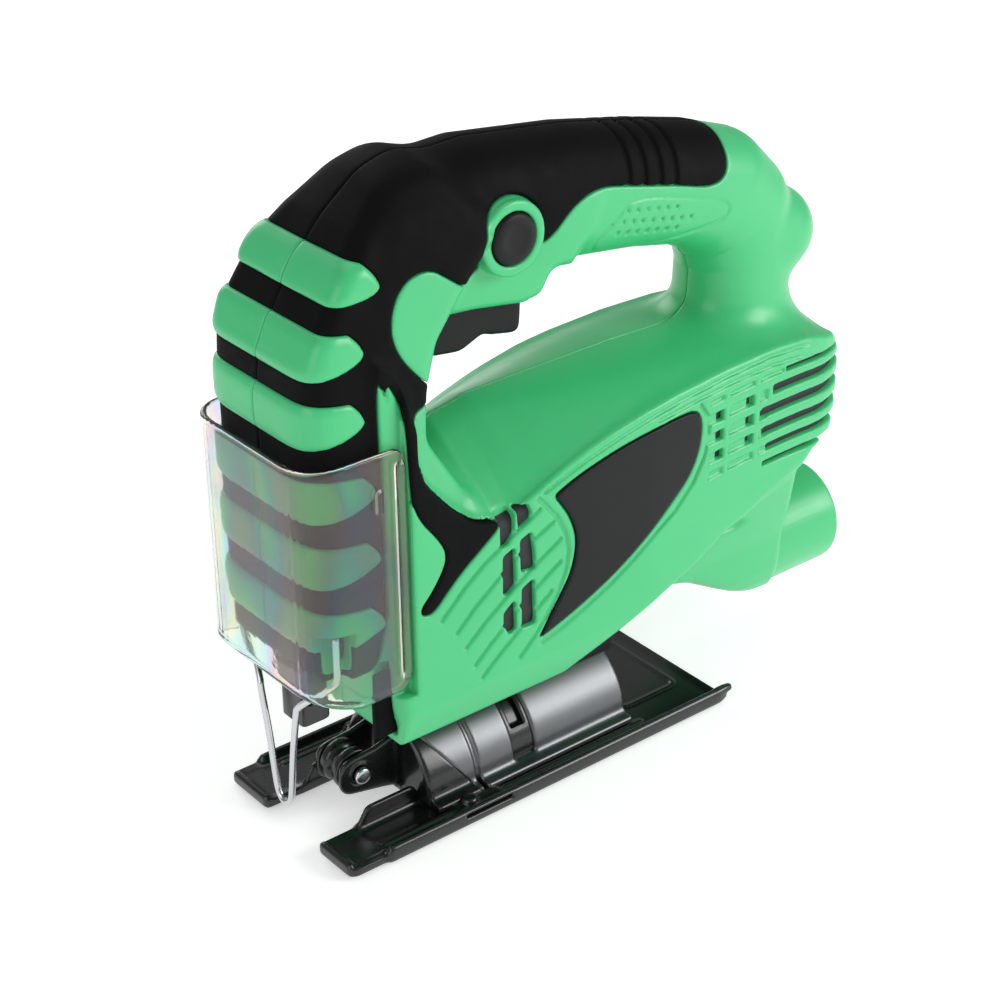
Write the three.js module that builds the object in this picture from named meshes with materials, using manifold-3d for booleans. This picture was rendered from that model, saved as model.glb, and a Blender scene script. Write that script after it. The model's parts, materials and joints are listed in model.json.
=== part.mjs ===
// A small corded jigsaw with a D handle, built as an assembly of its separate pieces.
// Millimetres, +Z up. x runs back from the front lip of the base plate, y = 0 is the parting plane
// of the two housing shells (-y is the tool's left side), z = 0 is the surface it stands on.
// The finished group is moved along x so that its middle stands over the origin.
import * as THREE from "three";
import { mergeVertices } from "three/addons/utils/BufferGeometryUtils.js";
import Module from "manifold-3d";

const wasm = await Module();
wasm.setup();

// ---- Driving dimensions ------------------------------------------------------------------------
const GAP = 0.3; // clearance between neighbouring pieces
const WALL = 2.6; // thickness of the plastic shells
const RUBBER = 1.4; // thickness of the soft overmould
const SIDE_Y = 30.5; // half width over the motor housing
const NOSE_Y = 25.5; // half width of the nose
const GRIP_Y = 17.5; // half width of the handle
const PORT_R = 17; // outside radius of the dust port
const PORT_END = 204; // rearmost face, the open end of the dust port
const PORT_Z = 33; // height of the dust port's axis
const BASE_LENGTH = 141;
const BASE_Y = 31; // half width of the base plate
const PLATE = 2; // thickness of the base plate's sheet
const TILT_Z = 4; // height of the axis that the base plate tilts about
const SADDLE_R = 21; // outside radius of the half-round saddle
const MOTOR_Z = 88; // height of the armature's axis
const GEAR_DROP = 24; // from the armature's axis down to the crank gear's axis
const CRANK_THROW = 9; // half the stroke
const PLUNGER_X = 9; // axis of the plunger rod
const RAISED = 5; // the plunger rests this far above the middle of its stroke
const TEETH_PINION = 8;
const TEETH_GEAR = 40;
const MODULE = 1; // gear module: pitch radii of 4 and 20 mm
const CENTRE_X = (PORT_END - 6.3) / 2; // middle of the whole tool, from the chip guard to the port

// ---- Materials ---------------------------------------------------------------------------------
const plain = (color, roughness, metalness = 0) =>
  new THREE.MeshStandardMaterial({ color, roughness, metalness });
const GREEN = plain(0x2fb768, 0.38);
const RUBBER_BLACK = plain(0x191a1c, 0.7);
const BLACK_PLASTIC = plain(0x1d1e20, 0.45);
const BLACK_STEEL = plain(0x15171a, 0.3, 0.6);
const ALUMINIUM = plain(0xb9bcc0, 0.42, 0.9);
const STEEL = plain(0xa7abb0, 0.3, 1);
const COPPER = plain(0xb56a3a, 0.35, 1);
const CARBON = plain(0x2c2c2e, 0.8);
const CLEAR = new THREE.MeshStandardMaterial({
  color: 0xd6dcda, roughness: 0.08, transparent: true, opacity: 0.35,
});

// ---- Shape helpers -----------------------------------------------------------------------------
// A closed mesh as a solid that can be joined, cut and intersected.
function solid(geometry) {
  const bare = geometry.clone();
  bare.deleteAttribute("normal");
  bare.deleteAttribute("uv");
  const merged = mergeVertices(bare, 1e-4);
  return new wasm.Manifold(
    new wasm.Mesh({
      numProp: 3,
      vertProperties: merged.attributes.position.array,
      triVerts: new Uint32Array(merged.index.array),
    }),
  );
}

const join = (...solids) => solids.reduce((a, b) => a.add(b));
const cut = (from, ...tools) => tools.reduce((a, b) => a.subtract(b), from);
const common = (...solids) => solids.reduce((a, b) => a.intersect(b));

// Corners [u, v, radius] with every side moved inwards by a distance.
function inset(corners, distance) {
  const flat = corners.map(([u, v]) => new THREE.Vector2(u, v));
  const turn = THREE.ShapeUtils.area(flat) > 0 ? 1 : -1;
  return flat.map((here, i) => {
    const a = here.clone().sub(flat.at(i - 1)).normalize();
    const b = flat[(i + 1) % flat.length].clone().sub(here).normalize();
    const bisector = a.clone().add(b).normalize();
    const inward = new THREE.Vector2(-bisector.y, bisector.x).multiplyScalar(turn);
    const moved = here.clone().addScaledVector(inward, distance / Math.max(0.3, a.dot(bisector)));
    const bulges = a.cross(b) * turn > 0;
    const radius = corners[i][2] ? corners[i][2] + (bulges ? -distance : distance) : 0;
    return [moved.x, moved.y, Math.max(0, radius)];
  });
}

// A polygon from corners [u, v] or [u, v, radius], where a radius rounds that corner.
function outline(corners, distance = 0, steps = 3) {
  const points = [];
  const moved = inset(corners, distance);
  const spots = moved.map(([u, v]) => new THREE.Vector2(u, v));
  moved.forEach(([, , radius], i) => {
    const here = spots[i];
    if (radius < 0.2) {
      points.push(here);
      return;
    }
    const toBefore = spots.at(i - 1).clone().sub(here);
    const toAfter = spots[(i + 1) % spots.length].clone().sub(here);
    const half = toBefore.angleTo(toAfter) / 2;
    const room = 0.48 * Math.min(toBefore.length(), toAfter.length());
    const reach = Math.min(radius / Math.tan(half), room);
    const start = here.clone().addScaledVector(toBefore.normalize(), reach);
    const end = here.clone().addScaledVector(toAfter.normalize(), reach);
    points.push(...new THREE.QuadraticBezierCurve(start, here, end).getPoints(steps));
  });
  return points;
}

function prism(points, length, basis) {
  const geometry = new THREE.ExtrudeGeometry(new THREE.Shape(points), {
    depth: length, bevelEnabled: false, steps: 1,
  });
  return solid(geometry.applyMatrix4(basis));
}

const axes = (u, v, w, origin) =>
  new THREE.Matrix4().makeBasis(
    new THREE.Vector3(...u), new THREE.Vector3(...v), new THREE.Vector3(...w),
  ).setPosition(...origin);

// Prisms whose outline is seen from the side (x, z), from the front (y, z) or from above (x, y).
const alongY = (points, y0, y1) =>
  prism(points, y1 - y0, axes([1, 0, 0], [0, 0, 1], [0, -1, 0], [0, y1, 0]));
const alongX = (points, x0, x1) =>
  prism(points, x1 - x0, axes([0, 1, 0], [0, 0, 1], [1, 0, 0], [x0, 0, 0]));
const alongZ = (points, z0, z1) =>
  prism(points, z1 - z0, axes([1, 0, 0], [0, 1, 0], [0, 0, 1], [0, 0, z0]));

const box = (x0, x1, y0, y1, z0, z1) =>
  solid(new THREE.BoxGeometry(x1 - x0, y1 - y0, z1 - z0)
    .translate((x0 + x1) / 2, (y0 + y1) / 2, (z0 + z1) / 2));

// A body turned about an axis along X, Y or Z through a point: profile of [distance along, radius].
function turned(axis, [x, y, z], profile, sides = 20) {
  const points = profile.map(([along, radius]) => new THREE.Vector2(radius, along));
  const geometry = new THREE.LatheGeometry([...points, points[0].clone()], sides);
  if (axis === "x") geometry.rotateZ(-Math.PI / 2);
  if (axis === "z") geometry.rotateX(Math.PI / 2);
  const made = solid(geometry);
  const right = made.volume() > 0 ? made : solid(flipped(geometry));
  return right.translate([x, y, z]);
}

function flipped(geometry) {
  const index = geometry.index.array;
  for (let i = 0; i < index.length; i += 3) [index[i], index[i + 1]] = [index[i + 1], index[i]];
  return geometry;
}

const rod = (axis, at, from, to, radius, sides = 16) =>
  turned(axis, at, [[from, 0], [from, radius], [to, radius], [to, 0]], sides);
const sleeve = (axis, at, from, to, inner, outer, sides = 20) =>
  turned(axis, at, [[from, inner], [from, outer], [to, outer], [to, inner]], sides);

const oval = (halfU, halfV, sides = 16, centre = [0, 0]) =>
  Array.from({ length: sides }, (_, i) => {
    const angle = (2 * Math.PI * (i + 0.5)) / sides;
    return new THREE.Vector2(
      centre[0] + halfU * Math.cos(angle), centre[1] + halfV * Math.sin(angle),
    );
  });

// A section swept along a smooth or a straight-sided line.
function sweep(points, section, steps, smooth = true) {
  const corners = points.map((p) => new THREE.Vector3(...p));
  const path = smooth
    ? new THREE.CatmullRomCurve3(corners, false, "centripetal")
    : new THREE.CatmullRomCurve3(corners, false, "catmullrom", 0);
  return solid(new THREE.ExtrudeGeometry(new THREE.Shape(section), {
    steps, extrudePath: path, bevelEnabled: false,
  }));
}

const jigsaw = new THREE.Group();
jigsaw.name = "jigsaw";
jigsaw.position.x = -CENTRE_X;

function piece(name, made, material) {
  const mesh = made.getMesh();
  const geometry = new THREE.BufferGeometry();
  geometry.setAttribute("position", new THREE.BufferAttribute(mesh.vertProperties, 3));
  geometry.setIndex(new THREE.BufferAttribute(mesh.triVerts, 1));
  geometry.computeVertexNormals();
  const result = new THREE.Mesh(geometry, material);
  result.name = name;
  jigsaw.add(result);
  return made;
}

// ---- Outer form of the housing -----------------------------------------------------------------
// Each function gives the outer surface moved inwards by a distance, so that shells, cavity and
// overmould all follow the same form.
const NOSE_SIDE = [
  [-1, 59, 3], [-2, 100], [-2, 138], [0, 150], [4.5, 160], [12, 172], [21, 182], [33, 191],
  [46, 194.5], [58, 170], [40, 148, 6], [37, 128], [58, 100], [58, 40], [15, 40], [15, 59],
];
const NOSE_PLAN = [
  [-2.5, -NOSE_Y, 13], [-2.5, NOSE_Y, 13], [70, NOSE_Y], [70, -NOSE_Y],
];
const NOSE_SECTION = [
  [-NOSE_Y, 36], [NOSE_Y, 36], [NOSE_Y, 146], [21.5, 176, 12], [10, 196, 8], [-10, 196, 8],
  [-21.5, 176, 12], [-NOSE_Y, 146],
];

function nose(d, steps) {
  return common(
    alongY(outline(NOSE_SIDE, d, steps), -40, 40),
    alongX(outline(NOSE_SECTION, d, steps), -10, 80),
    alongZ(outline(NOSE_PLAN, d, steps), 30, 210),
  );
}

const MOTOR_SIDE = [
  [21, 33], [106, 43], [160, 66], [190, 76, 8], [200, 92, 12], [188, 109, 14], [165, 118.5, 20],
  [95, 119.5], [66, 116, 14], [44, 104, 8], [30, 124], [22, 80],
];
const MOTOR_SECTION = [
  [-24, 32], [24, 32], [SIDE_Y, 44], [SIDE_Y - 0.5, 96], [27, 110, 6], [3, 121, 3], [-3, 121, 3],
  [-27, 110, 6], [-SIDE_Y + 0.5, 96], [-SIDE_Y, 44],
];
const MOTOR_PLAN = [
  [21, -SIDE_Y], [110, -SIDE_Y], [200, -24, 24], [200, 24, 24], [110, SIDE_Y], [21, SIDE_Y],
];

function motorHousing(d, steps) {
  return common(
    alongY(outline(MOTOR_SIDE, d, steps), -40, 40),
    alongX(outline(MOTOR_SECTION, d, steps), 10, 230),
    alongZ(outline(MOTOR_PLAN, d, steps), 20, 210),
  );
}

const DUCT_END = 178; // where the fairing hands over to the round dust port
const DUCT_SIDE = [
  [100, 46], [128, 40, 10], [152, 25], [170, PORT_Z - PORT_R], [DUCT_END, PORT_Z - PORT_R],
  [DUCT_END, PORT_Z + PORT_R], [174, 70], [120, 60],
];
const DUCT_SECTION = [
  [-PORT_R, PORT_Z - PORT_R, 12], [PORT_R, PORT_Z - PORT_R, 12], [PORT_R, 50], [24, 80],
  [-24, 80], [-PORT_R, 50],
];

function duct(d, steps) {
  return common(
    alongY(outline(DUCT_SIDE, d, steps), -40, 40),
    alongX(outline(DUCT_SECTION, d, steps), 80, DUCT_END - d),
  );
}

const HANDLE_LINE = [
  [32, 0, 158], [46, 0, 173.5], [66, 0, 175], [98, 0, 171.5], [136, 0, 164],
  [158, 0, 155], [170, 0, 140], [169, 0, 110],
];
const CORD_BULGE = { x: 183, z: 140, radius: 14 };

function handle(d, steps) {
  const sides = 4 + 3 * steps;
  const tube = sweep(HANDLE_LINE, oval(GRIP_Y - 1 - d, GRIP_Y - d, sides), 8 + 4 * steps);
  const bulge = solid(new THREE.SphereGeometry(CORD_BULGE.radius - d, sides, sides - 4))
    .translate([CORD_BULGE.x, 0, CORD_BULGE.z]);
  return join(tube, bulge);
}

const SWITCH_SIDE = [
  [36, 152], [44, 148], [76, 147, 4], [84, 154], [112, 154], [100, 172], [36, 176],
];

function switchHousing(d, steps) {
  return alongY(outline(SWITCH_SIDE, d, steps), -14.5 + d, 14.5 - d);
}

// steps sets how finely the rounds are drawn: 3 outside, 1 inside.
function body(d, steps = 3) {
  return join(nose(d, steps), motorHousing(d, steps), handle(d, steps),
    switchHousing(d, steps), duct(d, steps));
}

// ---- Overmould zones, seen from the side --------------------------------------------------------
const SOFT_ZONE = [
  [-20, 50], [20, 50], [20, 112], [26, 112], [27, 76], [33, 75], [38, 90], [55, 92], [42, 104],
  [39, 118], [37, 134], [27, 146], [31, 154], [52, 158], [57, 172], [66, 181], [78, 175],
  [82, 166], [100, 174], [137, 165.5], [152, 163, 5], [160, 182], [160, 215], [-20, 215],
];
const BARS = [
  { x: 23, z: 170, half: 5.5 }, { x: 16, z: 152, half: 6 }, { x: 14.5, z: 132, half: 6.5 },
  { x: 16, z: 112, half: 5.5 }, { x: 17, z: 93, half: 5.5 }, { x: 18, z: 73, half: 5.5 },
];

const barWindow = ({ x, z, half }, grow) =>
  alongY(outline([
    [-20, z + half + grow], [-20, z - half - grow], [x + grow, z - half - grow, 4],
    [x + grow, z + half + grow, 4],
  ], 0, 2), -40, 40);

function softZone(grow) {
  const zone = alongY(outline(SOFT_ZONE, -grow), -40, 40);
  return cut(zone, ...BARS.map((bar) => barWindow(bar, -grow)));
}

// ---- Badge, a leaf-shaped plate on each side ----------------------------------------------------
const BADGE = [[68, 54], [78, 74], [74, 94, 3], [128, 104, 5], [130, 92, 6], [104, 66]];

// ---- Inside measures shared by several pieces ---------------------------------------------------
const GEAR_Z = MOTOR_Z - GEAR_DROP;
const SHAFT_R = 4;
const GEAR_X = [44, 51];
const YOKE_X = [29, 36];
const BUTTON = { x: 69, z: 169, radius: 7.3, ring: 10.6 };
const SCREWS = [[24, 134], [112, 171], [171, 124], [192, 96], [100, 52], [150, 60]];
const SCREW_R = 1.9;
const BOSS_R = 4.2;
const REAR_SEAT = [178, 185];
const COMMUTATOR_X = [152, 166];

// ---- Housing shells -----------------------------------------------------------------------------
const sideVent = (x, z, lean) =>
  outline([[x, z], [x + 4.5, z + 1], [x + 4.5 + lean, z + 11], [x + lean, z + 10]]);

function ventCuts() {
  const cuts = [];
  for (const column of [0, 1])
    for (const row of [0, 1, 2])
      cuts.push(alongY(sideVent(53 + 8 * column + row, 56 + 13.5 * row, 1), -40, 40));
  for (const column of [0, 1, 2])
    for (const row of [0, 1, 2])
      cuts.push(alongY(outline([
        [137 + 9 * column, 84 + 7.5 * row + column], [143.5 + 9 * column, 85 + 7.5 * row + column],
        [143.5 + 9 * column, 88 + 7.5 * row + column], [137 + 9 * column, 87 + 7.5 * row + column],
      ]), -40, 40));
  for (const row of [0, 1, 2, 3, 4]) cuts.push(box(168, 210, -40, 40, 83 + 6 * row, 86 + 6 * row));
  return cuts;
}

function housing() {
  const soft = cut(softZone(GAP), body(RUBBER + GAP));
  const badgePocket = cut(alongY(outline(BADGE, -GAP), -40, 40), body(1.3));
  const shell = cut(join(body(0), rod("x", [0, 0, PORT_Z], 165, PORT_END, PORT_R, 24)), soft,
    badgePocket);
  const button = rod("y", [BUTTON.x, 0, BUTTON.z], -19.5, -6, BUTTON.ring, 20);
  const guardRecess = cut(box(0, 25.5, -40, 40, 50, 152), box(0, 26, -26.2, 26.2, 49, 153));
  const hollow = cut(body(RUBBER + GAP + WALL, 1), ...bosses());
  const portBore = rod("x", [0, 0, PORT_Z], 130, PORT_END + 1, PORT_R - WALL, 24);
  return cut(join(shell, button), hollow, guardRecess, portBore, openings(), ...ventCuts());
}

// Ribs and screw bosses that stay standing in the cavity.
function bosses() {
  const seats = [
    sleeve("x", [0, 0, MOTOR_Z], ...REAR_SEAT, 9.3, 40, 16),
    sleeve("x", [0, 0, MOTOR_Z], 110, 113, 24.4, 45, 20),
  ];
  return [
    ...seats,
    ...SCREWS.map(([x, z]) => rod("y", [x, 0, z], -40, 40, BOSS_R, 8)),
  ];
}

function openings() {
  const plungerWay = box(3.6, 14.4, -6, 6, 50, 66);
  const seatWay = box(33, 112, -14, 14, 30, 46);
  const triggerWay = box(45.5, 80.5, -8.3, 8.3, 140, 158);
  const buttonWay = rod("y", [BUTTON.x, 0, BUTTON.z], -30, -4, BUTTON.radius + GAP, 20);
  const cordAxis = [0, 0, CORD_BULGE.z - 2];
  const cordWay = join(rod("x", cordAxis, 180, 205, 5.3, 14), rod("x", cordAxis, 176, 187.6, 6.8, 14));
  const wireSlots = join(box(-10, 8, -30, -19.5, 50, 75), box(-10, 8, 19.5, 30, 50, 75));
  const screwWays = SCREWS.map(([x, z]) => join(
    rod("y", [x, 0, z], -11, 40, SCREW_R + GAP, 8),
    rod("y", [x, 0, z], 6.3, 40, 4, 8),
  ));
  return join(plungerWay, seatWay, triggerWay, buttonWay, cordWay, wireSlots, ...screwWays);
}

const leftSide = box(-50, 260, -60, -GAP / 2, -10, 260);
const rightSide = box(-50, 260, GAP / 2, 60, -10, 260);

const biggest = (made) => made.decompose().sort((a, b) => b.volume() - a.volume())[0];
const whole = housing();

function shells() {
  piece("housing_left", biggest(whole.intersect(leftSide)), GREEN);
  piece("housing_right", biggest(whole.intersect(rightSide)), GREEN);
}

function grips() {
  const skin = cut(common(cut(body(0), body(RUBBER)), softZone(0)), openings(),
    cut(box(0, 25.5, -40, 40, 50, 152), box(0, 26, -26.2, 26.2, 49, 153)),
    rod("y", [BUTTON.x, 0, BUTTON.z], -30, 0, BUTTON.ring + GAP, 20), whole);
  piece("grip_left", biggest(skin.intersect(leftSide)), RUBBER_BLACK);
  piece("grip_right", biggest(skin.intersect(rightSide)), RUBBER_BLACK);
}

function badges() {
  const plate = common(cut(body(-0.3), body(1)), alongY(outline(BADGE), -40, 40));
  piece("badge_left", plate.intersect(leftSide), BLACK_PLASTIC);
  piece("badge_right", plate.intersect(rightSide), BLACK_PLASTIC);
}

// ---- Chip guard and wire guard ------------------------------------------------------------------
const GUARD_TOP = 126;

function chipGuard() {
  const plan = (d) => outline([
    [-6.3 + d, -28.2 + d, 12 - d], [-6.3 + d, 28.2 - d, 12 - d], [60, 28.2 - d], [60, -28.2 + d],
  ], 0, 5);
  const side = outline([[-20, 54, 14], [-20, GUARD_TOP], [25, GUARD_TOP, 4], [25, 52, 5], [0, 52]]);
  const shell = cut(alongZ(plan(0), 40, 140), alongZ(plan(1.6), 30, 150));
  const rail = join(box(21.5, 24.5, -29, -27.8, 56, 122), box(21.5, 24.5, 27.8, 29, 56, 122));
  piece("chip_guard", join(common(shell, alongY(side, -40, 40)), rail), CLEAR);
}

function wireGuard() {
  const half = [[4, 22.4, 73], [4, 22.2, 60], [-1, 9, 45.5], [-1, 3.6, 14], [-1, 1.8, 11.2]];
  const near = half.map(([x, y, z]) => [x, -y, z]);
  const wire = sweep([...half, ...near.reverse()], oval(1, 1, 6), 36, true);
  piece("wire_guard", wire, STEEL);
}

// ---- Base plate and bevel joint -----------------------------------------------------------------
const SLOT_FRONT = 35; // rear end of the open slot between the front prongs
const SLOT_Y = [-14, 11.5];

function basePlate() {
  const sheet = alongZ(outline([
    [0, SLOT_Y[0], 2], [0, -BASE_Y, 3], [BASE_LENGTH, -BASE_Y, 2], [BASE_LENGTH, BASE_Y, 2],
    [0, BASE_Y, 3], [0, SLOT_Y[1], 2], [SLOT_FRONT, SLOT_Y[1], 3], [SLOT_FRONT, SLOT_Y[0], 3],
  ]), 0, PLATE);
  const lip = (y0, y1) => box(0, 1.6, y0, y1, 0.5, 4);
  const rail = (side) => alongX(
    outline([[-1, 0], [1.2, 0, 1], [1.2, 4.6, 1], [-1, 4.6, 0.6]])
      .map((p) => p.set(side * (BASE_Y - 0.6 + p.x), p.y)), 3, BASE_LENGTH + 4);
  const innerFlange = (y) => alongY(
    outline([[15, 1], [19, 8, 2], [33, 8, 2], [36, 1]]), y, y + 1.6);
  const well = box(42, 104, -17.4, 17.4, -1, 3);
  const plate = join(sheet, lip(-BASE_Y + 2, SLOT_Y[0] - 1), lip(SLOT_Y[1] + 1, BASE_Y - 2),
    rail(1), rail(-1), innerFlange(SLOT_Y[0] - 1.6), innerFlange(SLOT_Y[1]));
  piece("base_plate", cut(plate, well), BLACK_STEEL);
}

const SADDLE_X = [36, 109];
const BAND_X = [66, 74]; // the slot that the bevel screw swings in

function saddle() {
  const ring = sleeve("x", [0, 0, TILT_Z], ...SADDLE_X, SADDLE_R - 2.2, SADDLE_R, 32);
  const feet = join(box(...SADDLE_X, -25, -19, 2.3, 4.6), box(...SADDLE_X, 19, 25, 2.3, 4.6));
  const arch = cut(join(ring, feet), box(0, 200, -40, 40, -40, 2.3));
  const slot = box(...BAND_X, -17.5, 17.5, 8, 40);
  const groove = cut(box(50, 51.4, -40, 40, 8, 40), rod("x", [0, 0, TILT_Z], 49, 52, SADDLE_R - 0.8));
  piece("saddle", cut(arch, slot, groove), ALUMINIUM);
}

function saddleSeat() {
  const block = alongX(outline([[-11.5, 18], [11.5, 18], [13.4, 45.4], [-13.4, 45.4]]), 34, 111);
  const hollow = rod("x", [0, 0, TILT_Z], 30, 115, SADDLE_R + GAP, 32);
  const screwWay = rod("z", [70, 0, 0], 10, 40, 2.3, 10);
  const gearWay = rod("x", [0, 0, GEAR_Z], 34.5, 53, 22.5, 24);
  piece("saddle_seat", cut(block, hollow, screwWay, gearWay), BLACK_PLASTIC);
}

function bevelClamp() {
  const shoe = common(
    sleeve("x", [0, 0, TILT_Z], 62, 78, SADDLE_R - 5, SADDLE_R - 2.5, 32),
    box(60, 80, -8, 8, 10, 40),
  );
  piece("bevel_clamp", cut(shoe, rod("z", [70, 0, 0], 5, 40, 2.5, 10)), STEEL);
  const head = cut(rod("z", [70, 0, 0], 12, 18.6, 4.4, 12), rod("z", [70, 0, 0], 11, 15.5, 2.4, 6));
  piece("bevel_screw", join(head, rod("z", [70, 0, 0], 18, 37, 2, 10)), STEEL);
}

const ROLLER = { x: 20.4, z: 13.5, radius: 6.6 };

function rollerAssembly() {
  const fork = (y) => alongY(
    outline([[13.8, 8, 4], [13.8, 18, 4], [26, 19], [35.6, 22], [35.6, 3], [28, 5]]), y, y + 1.8);
  const bridge = box(33.4, 35.6, -6.6, 6.6, 3, 22);
  const foot = box(33.4, 41.7, -6.6, 6.6, PLATE + GAP, 4.3);
  const pinWay = rod("y", [ROLLER.x, 0, ROLLER.z], -10, 10, 1.8, 10);
  const mount = cut(join(fork(-6.6), fork(4.8), bridge, foot), pinWay);
  piece("roller_bracket", mount, BLACK_STEEL);
  piece("roller_pin", join(
    rod("y", [ROLLER.x, 0, ROLLER.z], -8.6, 8.2, 1.5, 10),
    rod("y", [ROLLER.x, 0, ROLLER.z], -8.6, -6.9, 2.6, 10),
  ), STEEL);
  piece("guide_roller", turned("y", [ROLLER.x, 0, ROLLER.z], [
    [-4.4, 1.8], [-4.4, ROLLER.radius], [-1.4, ROLLER.radius], [-0.7, ROLLER.radius - 2],
    [0.7, ROLLER.radius - 2], [1.4, ROLLER.radius], [4.4, ROLLER.radius], [4.4, 1.8],
  ], 18), BLACK_STEEL);
}

// ---- Plunger and crank --------------------------------------------------------------------------
const YOKE_Z = GEAR_Z + RAISED;

function plungerAssembly() {
  piece("plunger", rod("z", [PLUNGER_X, 0, 0], 39, 114, SHAFT_R, 12), STEEL);
  const hub = sleeve("z", [PLUNGER_X, 0, 0], 84, 92, SHAFT_R + GAP, 5.6, 12);
  const arm = cut(box(PLUNGER_X + 4, YOKE_X[0] + 4, -6, 6, 84, 92),
    rod("z", [PLUNGER_X, 0, 0], 0, 200, 5.2, 12));
  const riser = box(YOKE_X[0], YOKE_X[0] + 4, -6, 6, YOKE_Z + 5, 92);
  const plate = box(YOKE_X[0], YOKE_X[1], -17, 17, YOKE_Z - 7, YOKE_Z + 7);
  const slotWay = box(YOKE_X[1] - 4, YOKE_X[1] + 1, -14, 14, YOKE_Z - 4.8, YOKE_Z + 4.8);
  piece("yoke", cut(join(hub, arm, riser, plate), slotWay), STEEL);
  const clampBody = cut(
    alongZ(outline([[3.2, -5.5, 1.5], [3.2, 5.5, 1.5], [13.2, 5.5, 3], [13.2, -5.5, 3]]), 36, 54),
    box(3.6, 8.4, -0.8, 0.8, 30, 50.5),
    rod("z", [PLUNGER_X, 0, 0], 38.7, 60, SHAFT_R + GAP, 12),
    rod("y", [6, 0, 44], -12, 0, 1.9, 10),
  );
  piece("blade_clamp", clampBody, BLACK_STEEL);
}

function bushes() {
  piece("lower_bush", sleeve("z", [PLUNGER_X, 0, 0], 63.8, 69.4, SHAFT_R + GAP, 5.6, 12), COPPER);
  piece("upper_bush", sleeve("z", [PLUNGER_X, 0, 0], 98, 104, SHAFT_R + GAP, 5.6, 12), COPPER);
}

// The cast gear housing: a rear wall that carries the bearings and two brackets for the bushes.
function gearHousing() {
  const wallShape = [[-24, 47], [24, 47], [24, 86], [14, 102], [-14, 102], [-24, 86]];
  const wall = alongX(outline(wallShape), 56, 60);
  const arms = [box(25, 57, 21.8, 24, 62, 70), box(25, 57, -24, -21.8, 62, 70)];
  const floor = join(box(2, 26, -16, 16, 64, 69), box(24, 28.4, -24, 24, 64, 69));
  const roof = box(2, 57, -11, 11, 98.5, 103);
  const seat = sleeve("x", [0, 0, MOTOR_Z], 59, 67, 11.3, 14, 16);
  const ways = [
    rod("z", [PLUNGER_X, 0, 0], 40, 120, 5.9, 12),
    rod("x", [0, 0, GEAR_Z], 50, 70, 3.3, 12),
    rod("x", [0, 0, MOTOR_Z], 42, 61, 5.3, 12),
  ];
  const room = body(RUBBER + WALL + 2 * GAP, 1);
  piece("gear_housing", cut(common(join(wall, ...arms, floor, roof, seat), room), ...ways),
    ALUMINIUM);
}

// A spur gear with straight-sided teeth, about the X axis.
function toothed(teeth, x0, x1, bore) {
  const pitch = (teeth * MODULE) / 2;
  const points = [];
  const place = (radius, angle) =>
    points.push(new THREE.Vector2(radius * Math.cos(angle), radius * Math.sin(angle)));
  for (let i = 0; i < teeth; i++) {
    const step = (2 * Math.PI) / teeth;
    const root = pitch - 1.15 * MODULE;
    const tip = pitch + 0.8 * MODULE;
    place(root, step * (i + 0.02));
    place(tip, step * (i + 0.12));
    place(tip, step * (i + 0.28));
    place(root, step * (i + 0.38));
  }
  return cut(alongX(points, x0, x1), rod("x", [0, 0, 0], x0 - 1, x1 + 1, bore, 12));
}

function gears() {
  const gear = toothed(TEETH_GEAR, ...GEAR_X, 3.3).translate([0, 0, GEAR_Z]);
  const pinAt = [0, Math.sqrt(CRANK_THROW ** 2 - RAISED ** 2), YOKE_Z];
  piece("crank_gear", cut(gear, rod("x", pinAt, 40, 50, 2.3, 10)), STEEL);
  piece("crank_pin", rod("x", pinAt, 36.5, 49.6, 2, 10), STEEL);
  piece("crank_roller", sleeve("x", pinAt, 37, 43.4, 2.3, 4, 12), STEEL);
  piece("gear_shaft", rod("x", [0, 0, GEAR_Z], 42, 60, 3, 12), STEEL);
  const pinion = toothed(TEETH_PINION, 43, 54, 2.5).rotate([4.5, 0, 0]);
  piece("motor_pinion", pinion.translate([0, 0, MOTOR_Z]), STEEL);
}

// ---- Motor --------------------------------------------------------------------------------------
const motorAxis = [0, 0, MOTOR_Z];
const onShaft = SHAFT_R + GAP;

function armature() {
  piece("armature_shaft", turned("x", motorAxis, [
    [42, 0], [42, 2.2], [56, 2.2], [56, SHAFT_R], [186, SHAFT_R], [186, 0],
  ], 12), STEEL);
  const slots = Array.from({ length: 12 }, (_, i) =>
    box(96, 140, -0.9, 0.9, 14.4, 20).rotate([30 * i, 0, 0]).translate(motorAxis));
  piece("armature_core", cut(sleeve("x", motorAxis, 98, 136, 13.3, 16.8, 24), ...slots), STEEL);
  piece("armature_winding", turned("x", motorAxis, [
    [90, onShaft], [90, 11], [93, 13], [141, 13], [144, 11], [144, onShaft],
  ], 16), COPPER);
  piece("commutator", sleeve("x", motorAxis, ...COMMUTATOR_X, onShaft, 10, 20), COPPER);
  piece("front_bearing", sleeve("x", motorAxis, 60.4, 66.6, onShaft, 11, 16), STEEL);
  piece("rear_bearing", sleeve("x", motorAxis, REAR_SEAT[0] + 0.4, REAR_SEAT[1] - 0.4, onShaft, 9, 16),
    STEEL);
}

function fan() {
  const disc = join(sleeve("x", motorAxis, 72, 84, onShaft, 8, 12),
    sleeve("x", motorAxis, 82, 84, 7, 22, 20));
  const blades = Array.from({ length: 10 }, (_, i) =>
    box(74, 82.5, -0.8, 0.8, 7.4, 22).rotate([36 * i, 0, 0]).translate(motorAxis));
  piece("fan", join(disc, ...blades), BLACK_PLASTIC);
}

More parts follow.
